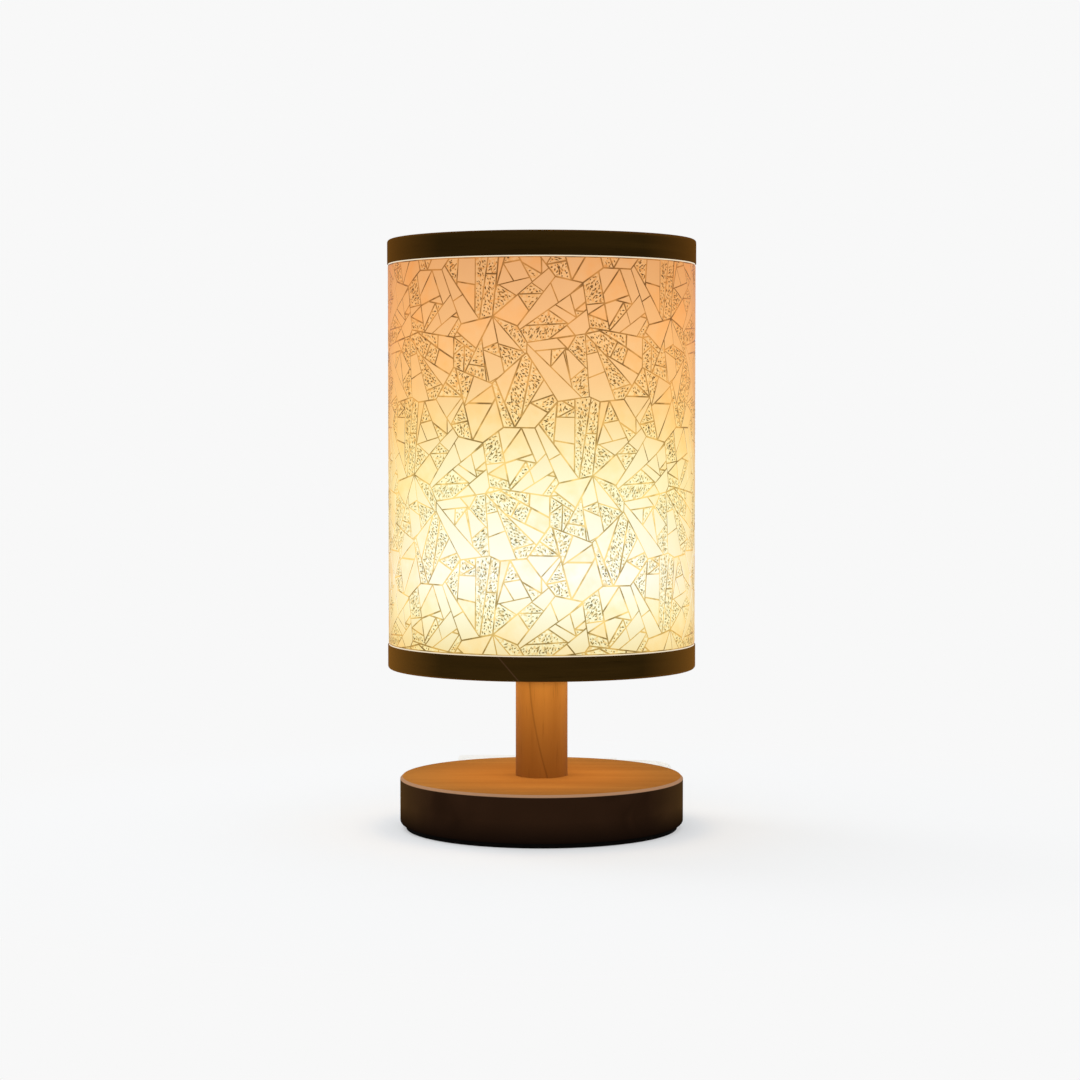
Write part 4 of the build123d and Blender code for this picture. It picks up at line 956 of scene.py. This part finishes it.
def metal_finishes():
    return [
        (made_material("zinc", (0.6, 0.6, 0.57), 0.34, 1.0, drift=0.12, scale=900),
         "threaded_tube tube_washer tube_nut cord_clamp clamp_screws terminal_screws spider_screws "
         "switch_screws"),
        (made_material("powder_coat", (0.82, 0.8, 0.75), 0.42, depth=0.03, grain=900), "shade_spider"),
        (made_material("brass", (0.7, 0.48, 0.17), 0.3, 1.0, drift=0.15, scale=500),
         "holder_terminals screw_shell centre_contact moving_contact fixed_contacts"),
        (made_material("nickel", (0.66, 0.64, 0.6), 0.2, 1.0, drift=0.08, scale=700),
         "bulb_tip_contact bulb_cap plug_pins"),
        (made_material("spring_steel", (0.5, 0.5, 0.51), 0.25, 1.0, drift=0.1, scale=800),
         "rocker_pivot_pin detent_spring"),
    ]


def holder_and_bulb_finishes():
    return [
        (made_material("holder_plastic", (0.83, 0.81, 0.75), 0.35), "holder_shell shade_ring_nut"),
        (made_material("amber_cap", (0.86, 0.52, 0.27), 0.35), "holder_cap"),
        (made_material("glazed_core", (0.85, 0.83, 0.78), 0.2), "holder_core"),
        (made_material("bulb_plastic", (0.86, 0.85, 0.82), 0.32), "bulb_housing"),
        (made_material("black_insulator", (0.015, 0.015, 0.018), 0.2, drift=0.2), "bulb_insulator"),
        (board_material(), "driver_board"),
        (made_material("white_mask", (0.82, 0.82, 0.79), 0.35, drift=0.04), "led_board"),
        (made_material("phosphor", (0.85, 0.6, 0.08), 0.5, drift=0.1, Emission_Color=(1.0, 0.75, 0.4, 1),
                       Emission_Strength=1.5), "led_chips"),
        (opal_material(), "bulb_globe"),
    ]


def cord_and_pad_finishes():
    return [
        (made_material("foam_pad", (0.004, 0.0035, 0.003), 0.9, drift=0.25, scale=300, depth=0.2, grain=2200,
                       Specular_IOR_Level=0.02), "foot_pad"),
        (made_material("cord_sheath", (0.87, 0.865, 0.84), 0.5, drift=0.05, depth=0.04, grain=500),
         "cord_lamp_side cord_plug_side"),
        (made_material("tie_strap", (0.86, 0.855, 0.83), 0.55, depth=0.1, grain=1500), "cord_tie"),
        (made_material("ivory_case", (0.88, 0.875, 0.85), 0.38, drift=0.05, depth=0.03, grain=1300),
         "switch_bottom_shell switch_top_shell switch_rocker plug_body"),
        (made_material("lead_sheath", (0.16, 0.06, 0.025), 0.5, drift=0.15), "lamp_leads switch_leads"),
        (made_material("grommet_rubber", (0.015, 0.014, 0.012), 0.6, drift=0.2, depth=0.05), "cord_grommet"),
        (made_material("pin_sleeve", (0.7, 0.68, 0.62), 0.5), "pin_sleeves"),
    ]


def paint_nodes():
    """Gives every CAD piece that stays visible its finish."""
    finishes = wood_finishes() + metal_finishes() + holder_and_bulb_finishes() + cord_and_pad_finishes()
    for material, names in finishes:
        for name in names.split():
            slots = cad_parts[name].data.materials
            slots.clear()
            slots.append(material)


# ------------------------------------------------------------------ stage, light and camera

CAMERA_DISTANCE = 1.09
EYE_HEIGHT = 0.172
FIELD_OF_VIEW = math.radians(23.66)
LOOK_HEIGHT = 0.1219
LOOK_SIDE = -0.0007
BACKGROUND = 0.939
FADE_START, FADE_END = 0.07, 0.3
NEAR_GLOW = 0.4
SOFTBOX_PLACE = (-0.6, 0.45, 1.1)
SOFTBOX_SIZE = 0.45
SOFTBOX_WATTS = 2.2
SPILL_HEIGHT = 3 * MM
SPILL_SIZE = 0.09
SPILL_WATTS = 0.0245
SPILL_COLOR = (1.0, 0.61, 0.27)
SPILL_SPREAD = math.radians(120)


def build_stage():
    """Pale floor that turns into the plain background beyond the lamp's soft shadow."""
    verts, faces = lathe([(0, 0), (FADE_END, 0), (0.8, 0), (6.0, 0)], 64, closed=False)
    mesh = bpy.data.meshes.new("floor")
    mesh.from_pydata(verts, [], [face[::-1] for face in faces])
    floor = bpy.data.objects.new("floor", mesh)
    bpy.context.scene.collection.objects.link(floor)
    shader = Shader("floor")
    coordinates = shader.add("ShaderNodeTexCoord")
    distance = shader.add("ShaderNodeVectorMath", operation="LENGTH")
    shader.join(coordinates.outputs["Object"], distance, 0)
    fade = shader.spread(distance.outputs["Value"], FADE_START, FADE_END, NEAR_GLOW, 1.0)
    cloud = shader.noise(shader.position(), 9.0, 2.0)
    near = shader.mix(cloud, (0.895, 0.925, 0.96), (0.905, 0.935, 0.97))
    shader.finish(
        Base_Color=shader.mix(fade, near, (0, 0, 0)), Roughness=1.0, Specular_IOR_Level=0.0,
        Emission_Color=(*[BACKGROUND] * 3, 1), Emission_Strength=fade,
    )
    mesh.materials.append(shader.material)


def disc_light(name, place, target, size, energy, color=(1, 1, 1)):
    data = bpy.data.lights.new(name, "AREA")
    data.shape = "DISK"
    data.size = size
    data.energy = energy
    data.color = color
    light = bpy.data.objects.new(name, data)
    light.location = place
    light.rotation_euler = (Vector(target) - light.location).to_track_quat("-Z", "Y").to_euler()
    bpy.context.scene.collection.objects.link(light)
    return light


def build_light():
    """Even white surroundings, a softbox high on the left, and the bulb's light falling out of the shade."""
    world = bpy.data.worlds.new("studio")
    bpy.context.scene.world = world
    world.use_nodes = True
    world.node_tree.nodes["Background"].inputs["Color"].default_value = (*[BACKGROUND] * 3, 1)
    disc_light("softbox", SOFTBOX_PLACE, (0, 0, 0.02), SOFTBOX_SIZE, SOFTBOX_WATTS)
    spill_place = (0, 0, stem_high.z + SPILL_HEIGHT)
    spill = disc_light("bulb_spill", spill_place, (0, 0, 0), SPILL_SIZE, SPILL_WATTS, SPILL_COLOR)
    spill.data.spread = SPILL_SPREAD


def build_camera():
    data = bpy.data.cameras.new("camera")
    data.sensor_fit = "HORIZONTAL"
    data.sensor_width = 36
    data.angle = FIELD_OF_VIEW
    camera = bpy.data.objects.new("camera", data)
    camera.location = (0, -CAMERA_DISTANCE, EYE_HEIGHT)
    aim = Vector((LOOK_SIDE, 0, LOOK_HEIGHT)) - camera.location
    camera.rotation_euler = aim.to_track_quat("-Z", "Y").to_euler()
    bpy.context.scene.collection.objects.link(camera)
    bpy.context.scene.camera = camera


bpy.context.scene.view_settings.view_transform = "Standard"
build_stage()
build_light()
build_camera()
build_shade_film()
paint_nodes()

bpy.context.view_layer.update()
